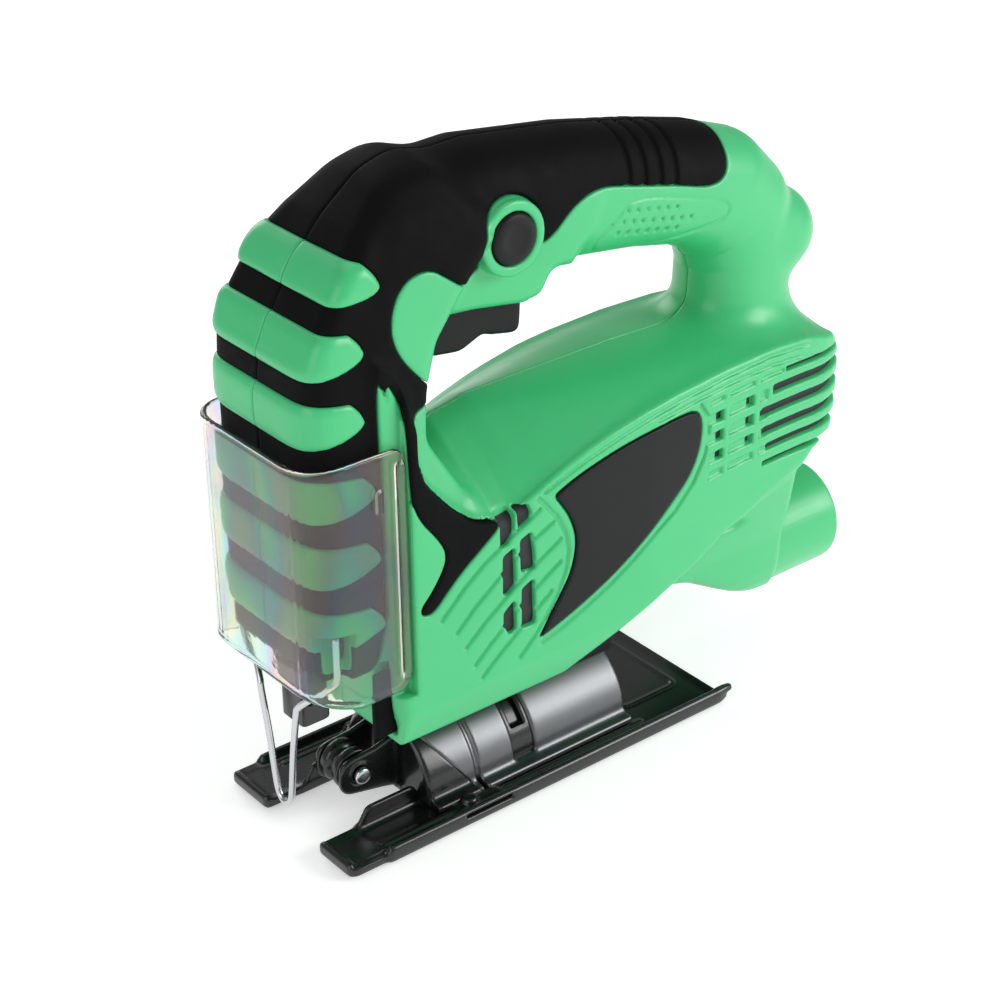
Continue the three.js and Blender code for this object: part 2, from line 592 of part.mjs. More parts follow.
function field() {
  const bore = 17.6;
  const zone = (grow) => common(
    sleeve("x", motorAxis, 92 - grow, 142 + grow, bore, 21.4 + grow, 28),
    join(box(80, 160, -17 - grow, 17 + grow, 20, 200)),
  );
  piece("field_core", cut(sleeve("x", motorAxis, 98, 136, bore, 24, 28), zone(GAP)), STEEL);
  const middle = box(97, 137, -8, 8, 0, 200);
  const upper = cut(common(zone(0), box(80, 160, -40, 40, MOTOR_Z, 200)), middle);
  const lower = cut(common(zone(0), box(80, 160, -40, 40, 0, MOTOR_Z)), middle);
  piece("field_coil_upper", upper, COPPER);
  piece("field_coil_lower", lower, COPPER);
}

function helix(axis, at, from, to, radius, turns, wire) {
  const count = turns * 8;
  const points = Array.from({ length: count + 1 }, (_, i) => {
    const angle = (i / 8) * 2 * Math.PI;
    const along = from + ((to - from) * i) / count;
    const [u, v] = [radius * Math.cos(angle), radius * Math.sin(angle)];
    return axis === "y" ? [at[0] + u, along, at[2] + v] : [at[0] + u, at[1] + v, along];
  });
  return sweep(points, oval(wire, wire, 5), count);
}

function brushes() {
  const x = (COMMUTATOR_X[0] + COMMUTATOR_X[1]) / 2;
  for (const [name, side] of [["left", -1], ["right", 1]]) {
    const range = (a, b) => (side > 0 ? [a, b] : [-b, -a]);
    const block = (half, a, b) =>
      box(x - half, x + half, ...range(a, b), MOTOR_Z - half, MOTOR_Z + half);
    piece("carbon_brush_" + name, block(2.5, 10.3, 16), CARBON);
    piece("brush_holder_" + name, cut(block(4, 12, 21.8), block(2.8, 11, 20.8)), COPPER);
    const ends = range(16.6, 20.3);
    piece("brush_spring_" + name,
      helix("y", [x, 0, MOTOR_Z], ...ends, 1.6, 3, 0.3), STEEL);
  }
}

// ---- Switch, trigger, speed dial and lock button -------------------------------------------------
function controls() {
  piece("switch_body", box(45, 78, -8.5, 8.5, 164, 180), BLACK_PLASTIC);
  const paddle = alongY(outline([
    [47, 153.4], [47, 138, 3], [60, 135, 6], [69, 137.5, 3], [78, 135.5, 4], [79, 153.4],
  ], 0, 2), -7.6, 7.6);
  const flange = box(46, 80, -7.6, 7.6, 152.2, 154.4);
  const dialWay = box(51, 61, -3.2, 3.2, 125, 146);
  piece("trigger", cut(join(paddle, flange), dialWay), BLACK_PLASTIC);
  piece("speed_dial", rod("y", [56, 0, 138.5], -2.8, 2.8, 4.4, 14), BLACK_PLASTIC);
  piece("trigger_spring", helix("z", [62, 0, 0], 155, 163.3, 3, 3, 0.4), STEEL);
  const cap = rod("y", [BUTTON.x, 0, BUTTON.z], -20.6, -13, BUTTON.radius, 18);
  piece("lock_button", cap, BLACK_PLASTIC);
}

function cordGland() {
  const z = CORD_BULGE.z - 2;
  piece("cord_gland", turned("x", [0, 0, z], [
    [184.5, 3.3], [184.5, 6.4], [187.3, 6.4], [187.3, 5], [195.4, 5], [195.4, 3.3],
  ], 12), RUBBER_BLACK);
}

function housingScrews() {
  SCREWS.forEach(([x, z], i) => {
    const shank = rod("y", [x, 0, z], -10, 7, SCREW_R, 8);
    const head = rod("y", [x, 0, z], 6.6, 8.7, 3.5, 10);
    piece("housing_screw_" + (i + 1), join(shank, head), STEEL);
  });
}

shells();
grips();
badges();
chipGuard();
wireGuard();
basePlate();
saddle();
saddleSeat();
bevelClamp();
rollerAssembly();
plungerAssembly();
bushes();
gearHousing();
gears();
armature();
fan();
field();
brushes();
controls();
cordGland();
housingScrews();

export default jigsaw;
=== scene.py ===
"""A compact corded jigsaw with a D handle, on a pale floor.

Shapes are written in millimetres in the measuring frame: x runs back from the front lip of the
base plate, y = 0 is the parting plane, z = 0 is the floor. They are moved into the row frame, in
metres, when a mesh is made. Most pieces are solids described by signed distance fields, which give
them rounded edges and fillets, and are meshed on a regular grid.
"""
import json
import math

import bpy
import numpy as np
from mathutils import Matrix, Vector


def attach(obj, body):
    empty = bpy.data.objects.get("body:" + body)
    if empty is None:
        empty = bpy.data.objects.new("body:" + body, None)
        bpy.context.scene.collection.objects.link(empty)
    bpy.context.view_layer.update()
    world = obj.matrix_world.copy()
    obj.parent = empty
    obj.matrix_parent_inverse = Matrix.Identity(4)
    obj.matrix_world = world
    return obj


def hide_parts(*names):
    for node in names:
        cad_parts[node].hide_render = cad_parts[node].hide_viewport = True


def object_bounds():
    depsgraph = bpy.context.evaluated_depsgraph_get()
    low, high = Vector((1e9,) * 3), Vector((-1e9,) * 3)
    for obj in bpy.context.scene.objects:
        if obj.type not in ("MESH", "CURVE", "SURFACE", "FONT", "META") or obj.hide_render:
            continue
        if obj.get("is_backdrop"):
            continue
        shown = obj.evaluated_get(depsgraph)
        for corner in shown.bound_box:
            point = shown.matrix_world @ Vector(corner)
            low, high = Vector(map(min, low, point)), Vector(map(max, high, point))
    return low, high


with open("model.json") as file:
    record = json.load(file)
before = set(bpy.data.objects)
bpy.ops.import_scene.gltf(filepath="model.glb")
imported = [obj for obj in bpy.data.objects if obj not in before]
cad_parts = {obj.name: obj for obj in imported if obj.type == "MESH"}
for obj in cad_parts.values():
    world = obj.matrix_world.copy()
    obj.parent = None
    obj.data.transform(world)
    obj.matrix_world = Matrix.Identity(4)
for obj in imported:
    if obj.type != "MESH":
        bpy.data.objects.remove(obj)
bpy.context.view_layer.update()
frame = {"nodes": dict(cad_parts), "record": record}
CENTRE_X = 98.85  # millimetres from the base plate's front lip to the middle of the tool
MM = 0.001


# ---- Camera ------------------------------------------------------------------------------------
AZIMUTH, ELEVATION, ROLL = (math.radians(a) for a in (38.3, 28.6, -0.8))
camera_data = bpy.data.cameras.new("camera")
camera_data.sensor_width = 36
camera_data.lens = 82.8
camera_data.clip_start, camera_data.clip_end = 0.05, 20
camera = bpy.data.objects.new("camera", camera_data)
bpy.context.scene.collection.objects.link(camera)
forward = Vector((math.sin(AZIMUTH) * math.cos(ELEVATION), math.cos(AZIMUTH) * math.cos(ELEVATION),
                  -math.sin(ELEVATION)))
level = Vector((math.cos(AZIMUTH), -math.sin(AZIMUTH), 0))
over = level.cross(forward)
right = math.cos(ROLL) * level + math.sin(ROLL) * over
up = -math.sin(ROLL) * level + math.cos(ROLL) * over
camera.matrix_world = Matrix.Translation((-0.38195, -0.4576, 0.3977)) @ Matrix(
    (right, up, -forward)).transposed().to_4x4()
bpy.context.scene.camera = camera


# ---- Signed distance helpers -------------------------------------------------------------------
def smax(a, b, k):
    h = np.maximum(k - np.abs(a - b), 0) / k
    return np.maximum(a, b) + h * h * k / 4


def smin(a, b, k):
    return -smax(-a, -b, k)


def rounded(corners, steps=5):
    """Corners (u, v) or (u, v, radius) as a polygon with its rounds drawn."""
    points = []
    count = len(corners)
    for i, corner in enumerate(corners):
        here = np.array(corner[:2], float)
        if len(corner) < 3:
            points.append(here)
            continue
        before = np.array(corners[i - 1][:2], float) - here
        after = np.array(corners[(i + 1) % count][:2], float) - here
        lengths = np.linalg.norm(before), np.linalg.norm(after)
        cosine = np.clip(before @ after / lengths[0] / lengths[1], -1, 1)
        reach = min(corner[2] / math.tan(math.acos(cosine) / 2), 0.48 * min(lengths))
        start, end = here + before * reach / lengths[0], here + after * reach / lengths[1]
        for t in np.linspace(0, 1, steps + 1):
            points.append((1 - t) ** 2 * start + 2 * t * (1 - t) * here + t * t * end)
    return np.array(points)


def softened(points, rounds=2):
    """A closed outline with its corners cut off, again and again, into a smooth curve."""
    p = np.array(points, float)
    for _ in range(rounds):
        q = np.roll(p, -1, 0)
        p = np.stack([0.75 * p + 0.25 * q, 0.25 * p + 0.75 * q], 1).reshape(-1, 2)
    return p


def segments(u, v, a, b):
    """Distance from (u, v) to the segment a-b, and how far along it the nearest point is."""
    d = b - a
    t = np.clip(((u - a[0]) * d[0] + (v - a[1]) * d[1]) / max(d @ d, 1e-9), 0, 1)
    return np.hypot(u - a[0] - t * d[0], v - a[1] - t * d[1]), t


def polygon(points, u, v):
    """Signed distance to a polygon, negative inside."""
    p = np.asarray(points, float)
    best = np.full(np.broadcast(u, v).shape, 1e9, np.float32)
    inside = np.zeros(best.shape, bool)
    for a, b in zip(p, np.roll(p, -1, 0)):
        best = np.minimum(best, segments(u, v, a, b)[0])
        if a[1] != b[1]:
            crosses = (v >= min(a[1], b[1])) & (v < max(a[1], b[1]))
            inside ^= crosses & (u < a[0] + (v - a[1]) * (b[0] - a[0]) / (b[1] - a[1]))
    return np.where(inside, -best, best).astype(np.float32)


def polyline(points, u, v):
    p = np.asarray(points, float)
    best = np.full(np.broadcast(u, v).shape, 1e9, np.float32)
    for a, b in zip(p[:-1], p[1:]):
        best = np.minimum(best, segments(u, v, a, b)[0])
    return best.astype(np.float32)


MANY_FACES, THINNED = 60000, 0.4  # a mesh with more faces keeps this share of them


class Grid:
    """Points on a regular grid between two corners, in millimetres."""

    def __init__(self, low, high, cell):
        self.cell = np.broadcast_to(np.array(cell, float), (3,)).copy()
        self.low = np.array(low, float)
        count = np.ceil((np.array(high, float) - self.low) / self.cell).astype(int) + 1
        line = [(self.low[i] + self.cell[i] * np.arange(count[i])).astype(np.float32)
                for i in range(3)]
        self.x, self.y, self.z = (line[0][:, None, None], line[1][None, :, None],
                                  line[2][None, None, :])
        self.shape = tuple(count)

    def side(self, points):
        return polygon(points, self.x, self.z)

    def front(self, points):
        return polygon(points, self.y, self.z)

    def top(self, points):
        return polygon(points, self.x, self.y)

    def side_line(self, points):
        return polyline(points, self.x, self.z)

    def block(self, low, high, radius=0.5):
        """A box with rounded edges."""
        q = [np.abs(c - (a + b) / 2) - (b - a) / 2 + radius
             for c, a, b in zip((self.x, self.y, self.z), low, high)]
        out = np.sqrt(sum(np.maximum(c, 0) ** 2 for c in q))
        return out + np.minimum(np.maximum(np.maximum(q[0], q[1]), q[2]), 0) - radius

    def rod(self, axis, at, start, end, radius, round_by=0.5):
        u, v, w = {"x": (self.y - at[1], self.z - at[2], self.x),
                   "y": (self.x - at[0], self.z - at[2], self.y),
                   "z": (self.x - at[0], self.y - at[1], self.z)}[axis]
        return smax(np.hypot(u, v) - radius, np.abs(w - (start + end) / 2) - (end - start) / 2,
                    round_by)


def net(field, grid):
    """Vertices and quads of the zero surface of a field, one vertex in each cell it crosses."""
    field = np.ascontiguousarray(np.broadcast_to(field, grid.shape), np.float32).copy()
    for edge in (np.s_[0], np.s_[-1]):  # a closed surface wherever the solid meets the grid's side
        field[edge], field[:, edge], field[:, :, edge] = (
            np.maximum(field[edge], 0.01), np.maximum(field[:, edge], 0.01),
            np.maximum(field[:, :, edge], 0.01))
    inside = field < 0
    corners = [(i, j, k) for i in (0, 1) for j in (0, 1) for k in (0, 1)]
    nx, ny, nz = field.shape
    held = sum(inside[i:nx - 1 + i, j:ny - 1 + j, k:nz - 1 + k].astype(np.uint8)
               for i, j, k in corners)
    active = (held > 0) & (held < 8)
    cells = np.argwhere(active)
    number = np.full(active.shape, -1, np.int64)
    number[active] = np.arange(len(cells))
    values = [field[cells[:, 0] + i, cells[:, 1] + j, cells[:, 2] + k] for i, j, k in corners]
    total, crossings = np.zeros((len(cells), 3)), np.zeros(len(cells))
    for m, a in enumerate(corners):
        for n, b in enumerate(corners):
            if n > m and sum(abs(np.subtract(a, b))) == 1:
                hit = (values[m] < 0) != (values[n] < 0)
                t = values[m][hit] / (values[m][hit] - values[n][hit])
                total[hit] += np.array(a) + t[:, None] * np.subtract(b, a)
                crossings[hit] += 1
    local = cells + total / crossings[:, None]
    quads = []
    for axis in range(3):
        one, two = (axis + 1) % 3, (axis + 2) % 3
        first = np.take(inside, range(field.shape[axis] - 1), axis)
        second = np.take(inside, range(1, field.shape[axis]), axis)
        at = np.argwhere(first != second)
        at = at[(at[:, one] > 0) & (at[:, two] > 0)]
        out = first[tuple(at.T)]
        ring = []
        for back_one, back_two in ((0, 0), (1, 0), (1, 1), (0, 1)):
            cell = at.copy()
            cell[:, one] -= back_one
            cell[:, two] -= back_two
            ring.append(number[tuple(cell.T)])
        ring = np.stack(ring, 1)
        ring[~out] = ring[~out][:, ::-1]
        quads.append(ring)
    quads = np.concatenate(quads)
    for _ in range(2):
        local = settle(field, relax(local, quads))
    return local * grid.cell + grid.low, quads


def relax(points, quads):
    """Every vertex moved halfway to the middle of its neighbours."""
    total, count = np.zeros_like(points), np.zeros(len(points))
    for a, b in ((0, 1), (1, 2), (2, 3), (3, 0)):
        for p, q in ((a, b), (b, a)):
            for c in range(3):
                total[:, c] += np.bincount(quads[:, p], points[quads[:, q], c], len(points))
            count += np.bincount(quads[:, p], minlength=len(points))
    return 0.5 * points + 0.5 * total / np.maximum(count, 1)[:, None]


def settle(field, points):
    """Vertices moved back to where the field is zero."""
    top = np.array(field.shape) - 1.001

    def sample(p):
        p = np.clip(p, 0, top)
        i = p.astype(int)
        f = p - i
        out = 0
        for dx in (0, 1):
            for dy in (0, 1):
                for dz in (0, 1):
                    weight = np.prod([f[:, n] if d else 1 - f[:, n]
                                      for n, d in enumerate((dx, dy, dz))], 0)
                    out = out + weight * field[i[:, 0] + dx, i[:, 1] + dy, i[:, 2] + dz]
        return out

    value = sample(points)
    slope = np.stack([sample(points + d) - sample(points - d) for d in 0.5 * np.eye(3)], 1)
    step = value[:, None] * slope / np.maximum((slope ** 2).sum(1), 1e-4)[:, None]
    return points - np.clip(step, -0.6, 0.6)


def thin_out(made):
    """Fewer faces where the surface is flat."""
    modifier = made.modifiers.new("thin", "DECIMATE")
    modifier.ratio = THINNED
    shown = made.evaluated_get(bpy.context.evaluated_depsgraph_get())
    mesh = bpy.data.meshes.new_from_object(shown)
    made.modifiers.clear()
    made.data = mesh


def object_from(name, points, faces, material, body, replaces=(), smooth=True):
    """A piece that rides on a body, from points in millimetres in the measuring frame."""
    points = (np.asarray(points, float) - (CENTRE_X, 0, 0)) * MM
    mesh = bpy.data.meshes.new(name)
    if isinstance(faces, np.ndarray) and faces.ndim == 2:
        mesh.vertices.add(len(points))
        mesh.vertices.foreach_set("co", points.astype(np.float32).ravel())
        sides = faces.shape[1]
        mesh.loops.add(faces.size)
        mesh.loops.foreach_set("vertex_index", faces.astype(np.int32).ravel())
        mesh.polygons.add(len(faces))
        mesh.polygons.foreach_set("loop_start", np.arange(0, faces.size, sides, dtype=np.int32))
        mesh.update(calc_edges=True)
    else:
        mesh.from_pydata([tuple(p) for p in points], [], [tuple(f) for f in faces])
    mesh.validate()
    mesh.polygons.foreach_set("use_smooth", [smooth] * len(mesh.polygons))
    mesh.materials.append(material)
    made = bpy.data.objects.new(name, mesh)
    bpy.context.scene.collection.objects.link(made)
    if len(mesh.polygons) > MANY_FACES:
        thin_out(made)
    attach(made, body)
    if replaces:
        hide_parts(*replaces)
    return made


def solid(name, field, grid, material, body, replaces=(), mirror=False):
    points, quads = net(field, grid)
    if mirror:
        points = points * (1, -1, 1)
        quads = quads[:, ::-1].copy()
    return object_from(name, points, quads, material, body, replaces)


# ---- Materials ---------------------------------------------------------------------------------
def surface(name, color, roughness, metallic=0.0, grain=0.2, bump=0.03, spots=0.12, wear=0.0,
            wear_color=(0.5, 0.5, 0.5), stretch=(1, 1, 1), coat=0.0, **sockets):
    """A moulded, painted or metal surface: grain bump, uneven roughness and colour, worn edges.
    grain is the size of the grain in millimetres."""
    material = bpy.data.materials.new(name)
    material.use_nodes = True
    nodes, links = material.node_tree.nodes, material.node_tree.links
    shader = nodes["Principled BSDF"]
    shader.inputs["Metallic"].default_value = metallic
    shader.inputs["Coat Weight"].default_value = coat
    for socket, value in sockets.items():
        shader.inputs[socket.replace("_", " ")].default_value = value
    place = nodes.new("ShaderNodeTexCoord")
    mapping = nodes.new("ShaderNodeMapping")
    mapping.inputs["Scale"].default_value = stretch
    links.new(place.outputs["Object"], mapping.inputs["Vector"])

    def noise(scale, detail, out="Fac"):
        texture = nodes.new("ShaderNodeTexNoise")
        texture.inputs["Scale"].default_value = scale
        texture.inputs["Detail"].default_value = detail
        links.new(mapping.outputs["Vector"], texture.inputs["Vector"])
        return texture.outputs[out]

    broad, fine = noise(45, 3), noise(1 / (grain * MM), 2)
    tint = nodes.new("ShaderNodeMapRange")
    tint.inputs["To Min"].default_value, tint.inputs["To Max"].default_value = 1 - spots, 1 + spots
    links.new(broad, tint.inputs["Value"])
    paint = nodes.new("ShaderNodeHueSaturation")
    paint.inputs["Color"].default_value = (*color, 1)
    links.new(tint.outputs["Result"], paint.inputs["Value"])
    last = paint.outputs["Color"]
    if wear:
        geometry = nodes.new("ShaderNodeNewGeometry")
        edge = nodes.new("ShaderNodeMapRange")
        edge.inputs["From Min"].default_value, edge.inputs["From Max"].default_value = 0.53, 0.62
        edge.inputs["To Max"].default_value = wear
        links.new(geometry.outputs["Pointiness"], edge.inputs["Value"])
        patchy = nodes.new("ShaderNodeMath")
        patchy.operation = "MULTIPLY"
        links.new(edge.outputs["Result"], patchy.inputs[0])
        links.new(noise(300, 4), patchy.inputs[1])
        mix = nodes.new("ShaderNodeMix")
        mix.data_type = "RGBA"
        links.new(patchy.outputs["Value"], mix.inputs["Factor"])
        links.new(last, mix.inputs["A"])
        mix.inputs["B"].default_value = (*wear_color, 1)
        last = mix.outputs["Result"]
    links.new(last, shader.inputs["Base Color"])
    rough = nodes.new("ShaderNodeMapRange")
    rough.inputs["To Min"].default_value = roughness * 0.82
    rough.inputs["To Max"].default_value = roughness * 1.18
    links.new(noise(160, 5), rough.inputs["Value"])
    links.new(rough.outputs["Result"], shader.inputs["Roughness"])
    lift = nodes.new("ShaderNodeBump")
    lift.inputs["Strength"].default_value = 1.0
    lift.inputs["Distance"].default_value = bump * MM
    links.new(fine, lift.inputs["Height"])
    links.new(lift.outputs["Normal"], shader.inputs["Normal"])
    return material


GREEN = surface("green_shell", (0.05, 0.52, 0.19), 0.36, grain=0.35, bump=0.012, spots=0.05,
                wear=0.25, wear_color=(0.35, 0.85, 0.55), coat=0.12, Coat_Roughness=0.25)
RUBBER = surface("grip_rubber", (0.003, 0.003, 0.0033), 0.6, grain=0.3, bump=0.03, spots=0.25,
                 wear=0.15, wear_color=(0.02, 0.02, 0.02), Specular_IOR_Level=0.07)
BLACK = surface("black_plastic", (0.008, 0.008, 0.009), 0.42, grain=0.25, bump=0.02, spots=0.2,
                Specular_IOR_Level=0.2)
PAINT = surface("base_paint", (0.006, 0.0065, 0.007), 0.25, grain=0.8, bump=0.02, spots=0.3,
                wear=0.5, wear_color=(0.06, 0.06, 0.065), coat=0.2, Coat_Roughness=0.15)
ALUMINIUM = surface("cast_aluminium", (0.15, 0.155, 0.16), 0.36, metallic=0.95, grain=0.12,
                    bump=0.02, stretch=(0.08, 1, 1), spots=0.08)
STEEL = surface("bright_steel", (0.58, 0.59, 0.61), 0.22, metallic=1.0, grain=0.1, bump=0.01,
                spots=0.1)
COPPER = surface("copper_and_bronze", (0.6, 0.27, 0.12), 0.35, metallic=1.0, grain=0.3, bump=0.03,
                 spots=0.2)
# Dark carbon grey, also used as the colour of the painted shade sheet inside the housing
CARBON_AND_SHADE = surface("carbon", (0.02, 0.02, 0.022), 0.7, grain=0.2, bump=0.03, spots=0.3)


def clear_plastic():
    """Polycarbonate with the rainbow streaks of moulding stress, worn a little hazy."""
    material = surface("clear_guard", (0.9, 0.93, 0.92), 0.07, grain=2.5, bump=0.03, spots=0.02,
                       Transmission_Weight=0.992, IOR=1.5)
    nodes, links = material.node_tree.nodes, material.node_tree.links
    place = nodes.new("ShaderNodeTexCoord")
    mapping = nodes.new("ShaderNodeMapping")
    mapping.inputs["Scale"].default_value = (1, 1, 0.3)
    links.new(place.outputs["Object"], mapping.inputs["Vector"])
    streaks = nodes.new("ShaderNodeTexNoise")
    streaks.inputs["Scale"].default_value = 32
    streaks.inputs["Detail"].default_value = 1.5
    streaks.inputs["Distortion"].default_value = 1.2
    links.new(mapping.outputs["Vector"], streaks.inputs["Vector"])
    rainbow = nodes.new("ShaderNodeValToRGB")
    stops = [(0.30, (0.88, 0.92, 0.92)), (0.40, (0.95, 0.84, 0.72)), (0.45, (0.93, 0.68, 0.74)),
             (0.50, (0.66, 0.74, 0.96)), (0.55, (0.64, 0.93, 0.86)), (0.60, (0.94, 0.93, 0.72)),
             (0.70, (0.90, 0.90, 0.93))]
    ramp = rainbow.color_ramp
    while len(ramp.elements) < len(stops):
        ramp.elements.new(0.5)
    for element, (at, color) in zip(ramp.elements, stops):
        element.position, element.color = at, (*color, 1)
    links.new(streaks.outputs["Fac"], rainbow.inputs["Fac"])
    links.new(rainbow.outputs["Color"], nodes["Principled BSDF"].inputs["Base Color"])
    return material


CLEAR = clear_plastic()
SLOT_MATERIALS = {
    "green_shell": GREEN, "grip_rubber": RUBBER, "black_plastic": BLACK, "base_paint": PAINT,
    "cast_aluminium": ALUMINIUM, "bright_steel": STEEL, "copper_and_bronze": COPPER,
    "carbon": CARBON_AND_SHADE, "clear_guard": CLEAR,
}
for part in frame["record"]["subparts"]:
    node = frame["nodes"][part["node"]]
    node.data.materials.clear()
    node.data.materials.append(SLOT_MATERIALS[part["material_slot"]])

# ---- Outer form of the housing -----------------------------------------------------------------
SIDE_Y = 30.4  # half width over the motor housing
WALL = 4.4  # from the outer form to the cavity
SEAM = 0.1  # half the gap between the left and the right half
PORT_R, PORT_BORE, PORT_Z = 17, 14.4, 33  # the round dust port
CORD_Z = 138  # height of the cord inlet's axis
NOSE_SIDE = rounded([
    (-1, 59, 5), (-2, 100), (-2, 138, 20), (0, 150, 10), (4.5, 160, 10), (12, 172, 10),
    (21, 182, 10), (33, 191, 12), (46, 193.5, 10), (60, 172), (40, 149, 10), (36.5, 136, 10),
    (36, 122, 10), (50, 100), (58, 44), (21, 44), (15, 59),
])
NOSE_PLAN = rounded([(-2.5, -25.5, 14), (-2.5, 25.5, 14), (70, 25.5), (70, -25.5)], 8)
NOSE_FRONT = rounded([
    (-25.5, 36), (25.5, 36), (25.5, 143, 30), (21.5, 174, 16), (11, 196, 9), (-11, 196, 9),
    (-21.5, 174, 16), (-25.5, 143, 30),
])
PANEL_TOP = [
    (18.5, 148), (22, 146), (26.5, 137), (28.6, 128), (28.8, 120), (31, 113), (34, 108.6),
    (39, 103), (44, 98.4), (49, 95.4), (54, 94), (60, 95), (68, 98.3), (77, 102), (87, 105.3),
    (95, 107.4), (108, 110), (120, 111.5), (140, 112.8), (160, 112.8), (176, 111.5), (190, 108),
]
PANEL_SIDE = PANEL_TOP + [(199, 99), (201, 92), (198, 84), (190, 76), (176, 71.5), (160, 66),
                          (130, 52), (106, 43.5), (80, 33), (20.5, 33), (20.5, 120)]
PANEL_FRONT = rounded([
    (-26.6, 32), (26.6, 32), (SIDE_Y + 0.2, 44.5), (SIDE_Y, 112), (27.6, 150), (-27.6, 150),
    (-SIDE_Y, 112), (-SIDE_Y - 0.2, 44.5),
])
PLAN = rounded([(20.5, -SIDE_Y, 4), (110, -SIDE_Y, 60), (201, -24.5, 24), (201, 24.5, 24),
                (110, SIDE_Y, 60), (20.5, SIDE_Y, 4)], 8)
CROWN_SIDE = rounded([
    (30, 60), (30, 100), (44, 112, 8), (52, 117.5, 8), (66, 120, 20), (120, 120.3, 40),
    (165, 119, 20), (187, 112, 14), (199, 95, 10), (190, 76), (150, 60),
])
DUCT_SIDE = rounded([
    (100, 48), (112, 44.5, 20), (138, 36.5, 20), (156, 26, 16), (168, 19.6, 10), (178, 17.6),
    (178, 50), (176, 72), (120, 62),
])
DUCT_FRONT = rounded([
    (-16, 17.6, 13), (16, 17.6, 13), (19, 42, 20), (25, 66), (25, 82), (-25, 82), (-25, 66),
    (-19, 42, 20),
])
HANDLE_LINE = [  # x, z, half height across the line, half width along y
    (30, 156, 17, 18), (40, 168, 17.5, 17.5), (48, 174, 18, 17), (66, 175.4, 17.4, 16.8),
    (98, 170, 18.9, 16.6), (124, 165.8, 18.1, 16.6), (143.5, 161.4, 17.9, 16.2),
    (157.3, 155.6, 19, 15.8), (165.5, 147, 19.2, 15.2), (168.2, 135, 18.4, 15),
    (167.6, 122, 18.2, 15.4), (167.6, 105, 22, 17),
]
SWITCH_SIDE = rounded([
    (30, 158), (40, 151), (44, 150.5), (60, 149), (77, 146.2, 3), (83, 147.2, 4),
    (87.5, 154, 5), (94, 153.5), (100, 172), (36, 180),
])


def handle(g):
    """A tube of changing oval section along a line in the parting plane."""
    line = np.array(HANDLE_LINE, float)
    best = np.full(np.broadcast(g.x, g.z).shape, 1e9, np.float32)
    tall, wide = np.ones_like(best), np.ones_like(best)
    for a, b in zip(line[:-1], line[1:]):
        d, t = segments(g.x, g.z, a[:2], b[:2])
        nearer = d < best
        best = np.where(nearer, d, best)
        tall = np.where(nearer, a[2] + t * (b[2] - a[2]), tall)
        wide = np.where(nearer, a[3] + t * (b[3] - a[3]), wide)
    power = 2.25  # a little squarer than an ellipse
    r = ((best / tall) ** power + (np.abs(g.y) / wide) ** power) ** (1 / power)
    return (r - 1) * np.minimum(tall, wide)


def housing_form(g):
    """The whole outer form: nose, motor housing, handle, cord bulge and dust duct."""
    nose = smax(smax(g.side(NOSE_SIDE), g.front(NOSE_FRONT), 5), g.top(NOSE_PLAN), 3)
    panel = smax(smax(g.side(PANEL_SIDE), g.front(PANEL_FRONT), 1.5), g.top(PLAN), 2)
    ridge = np.array(PANEL_TOP[9:]).T
    crest = np.interp(g.x, [30, 44, 52, 66, 120, 165, 187, 199],
                      [95, 111, 117, 119.6, 120.2, 118.6, 111, 98])
    edge = np.minimum(np.interp(g.x, ridge[0], ridge[1]) - 0.6, crest - 1)
    share = np.clip(np.abs(g.y) / 28, 0, 1.2)
    slope = (g.z - crest + (crest - edge) * (0.75 * share + 0.25 * share ** 2)) * 0.88
    crown = smax(smax(g.side(CROWN_SIDE), slope, 6), smax(np.abs(g.y) - 28.4, g.top(PLAN), 1), 2)
    motor = smin(panel, crown, 1.5)
    form = smin(nose, motor, 6)
    grip = smin(handle(g), smax(g.side(SWITCH_SIDE), np.abs(g.y) - 14.8, 4), 5)
    bulge = np.sqrt((g.x - 182) ** 2 + g.y ** 2 + (g.z - 137) ** 2) - 14
    form = smin(form, smin(grip, bulge, 4), 9)
    duct = smax(smax(g.side(DUCT_SIDE), g.front(DUCT_FRONT), 4), g.x - 178, 1.5)
    return smin(form, duct, 5)


# ---- Regions seen from the side ----------------------------------------------------------------
SOFT = softened([
    (-20, 50), (18.7, 50), (18.9, 120), (18.6, 146.5), (20.8, 141), (24.4, 132), (25.2, 124),
    (25.3, 112), (26.5, 107), (29, 102), (32.5, 97.5), (35.5, 93), (36.4, 89.5), (35, 85.5),
    (31, 80), (27.4, 76.6), (27.6, 74.4), (30, 73.4), (32.6, 74.6), (36, 78), (41, 82.5),
    (49, 88), (55.4, 92.6), (53, 94.4), (48, 95.7), (44, 98.3), (39, 103), (34, 109), (31, 113),
    (29, 118), (28.8, 124), (29.3, 130), (32, 133), (50, 133), (50, 137), (37, 137.5),
    (31, 144), (27, 149.5), (25, 156), (26.5, 163), (30.5, 168), (35.5, 169.5), (40, 169),
    (44, 166), (50, 161.5), (55.5, 160), (59.4, 162), (66, 166), (76, 166), (81, 163.4),
    (84.6, 165), (88, 168.5), (92, 171.8), (98, 174), (104, 174), (110, 172.7), (120, 170.3),
    (130, 168), (138, 165.6), (143, 164.5), (147, 164.8), (149.7, 166.5), (151.4, 170),
    (152, 174), (155, 180), (157, 190), (157, 225), (-20, 225),
])
BUTTON = (69, 0, 169)
BUTTON_R, RING_R = 7.3, 10.6  # the lock button and the green ring around it
BAR_RISE, SOFT_DEPTH, BADGE_DEPTH, GROOVE_DEPTH = 0.9, 1.7, 1.3, 0.9
GROOVE, FINE_GROOVE = 0.6, 0.55  # half widths
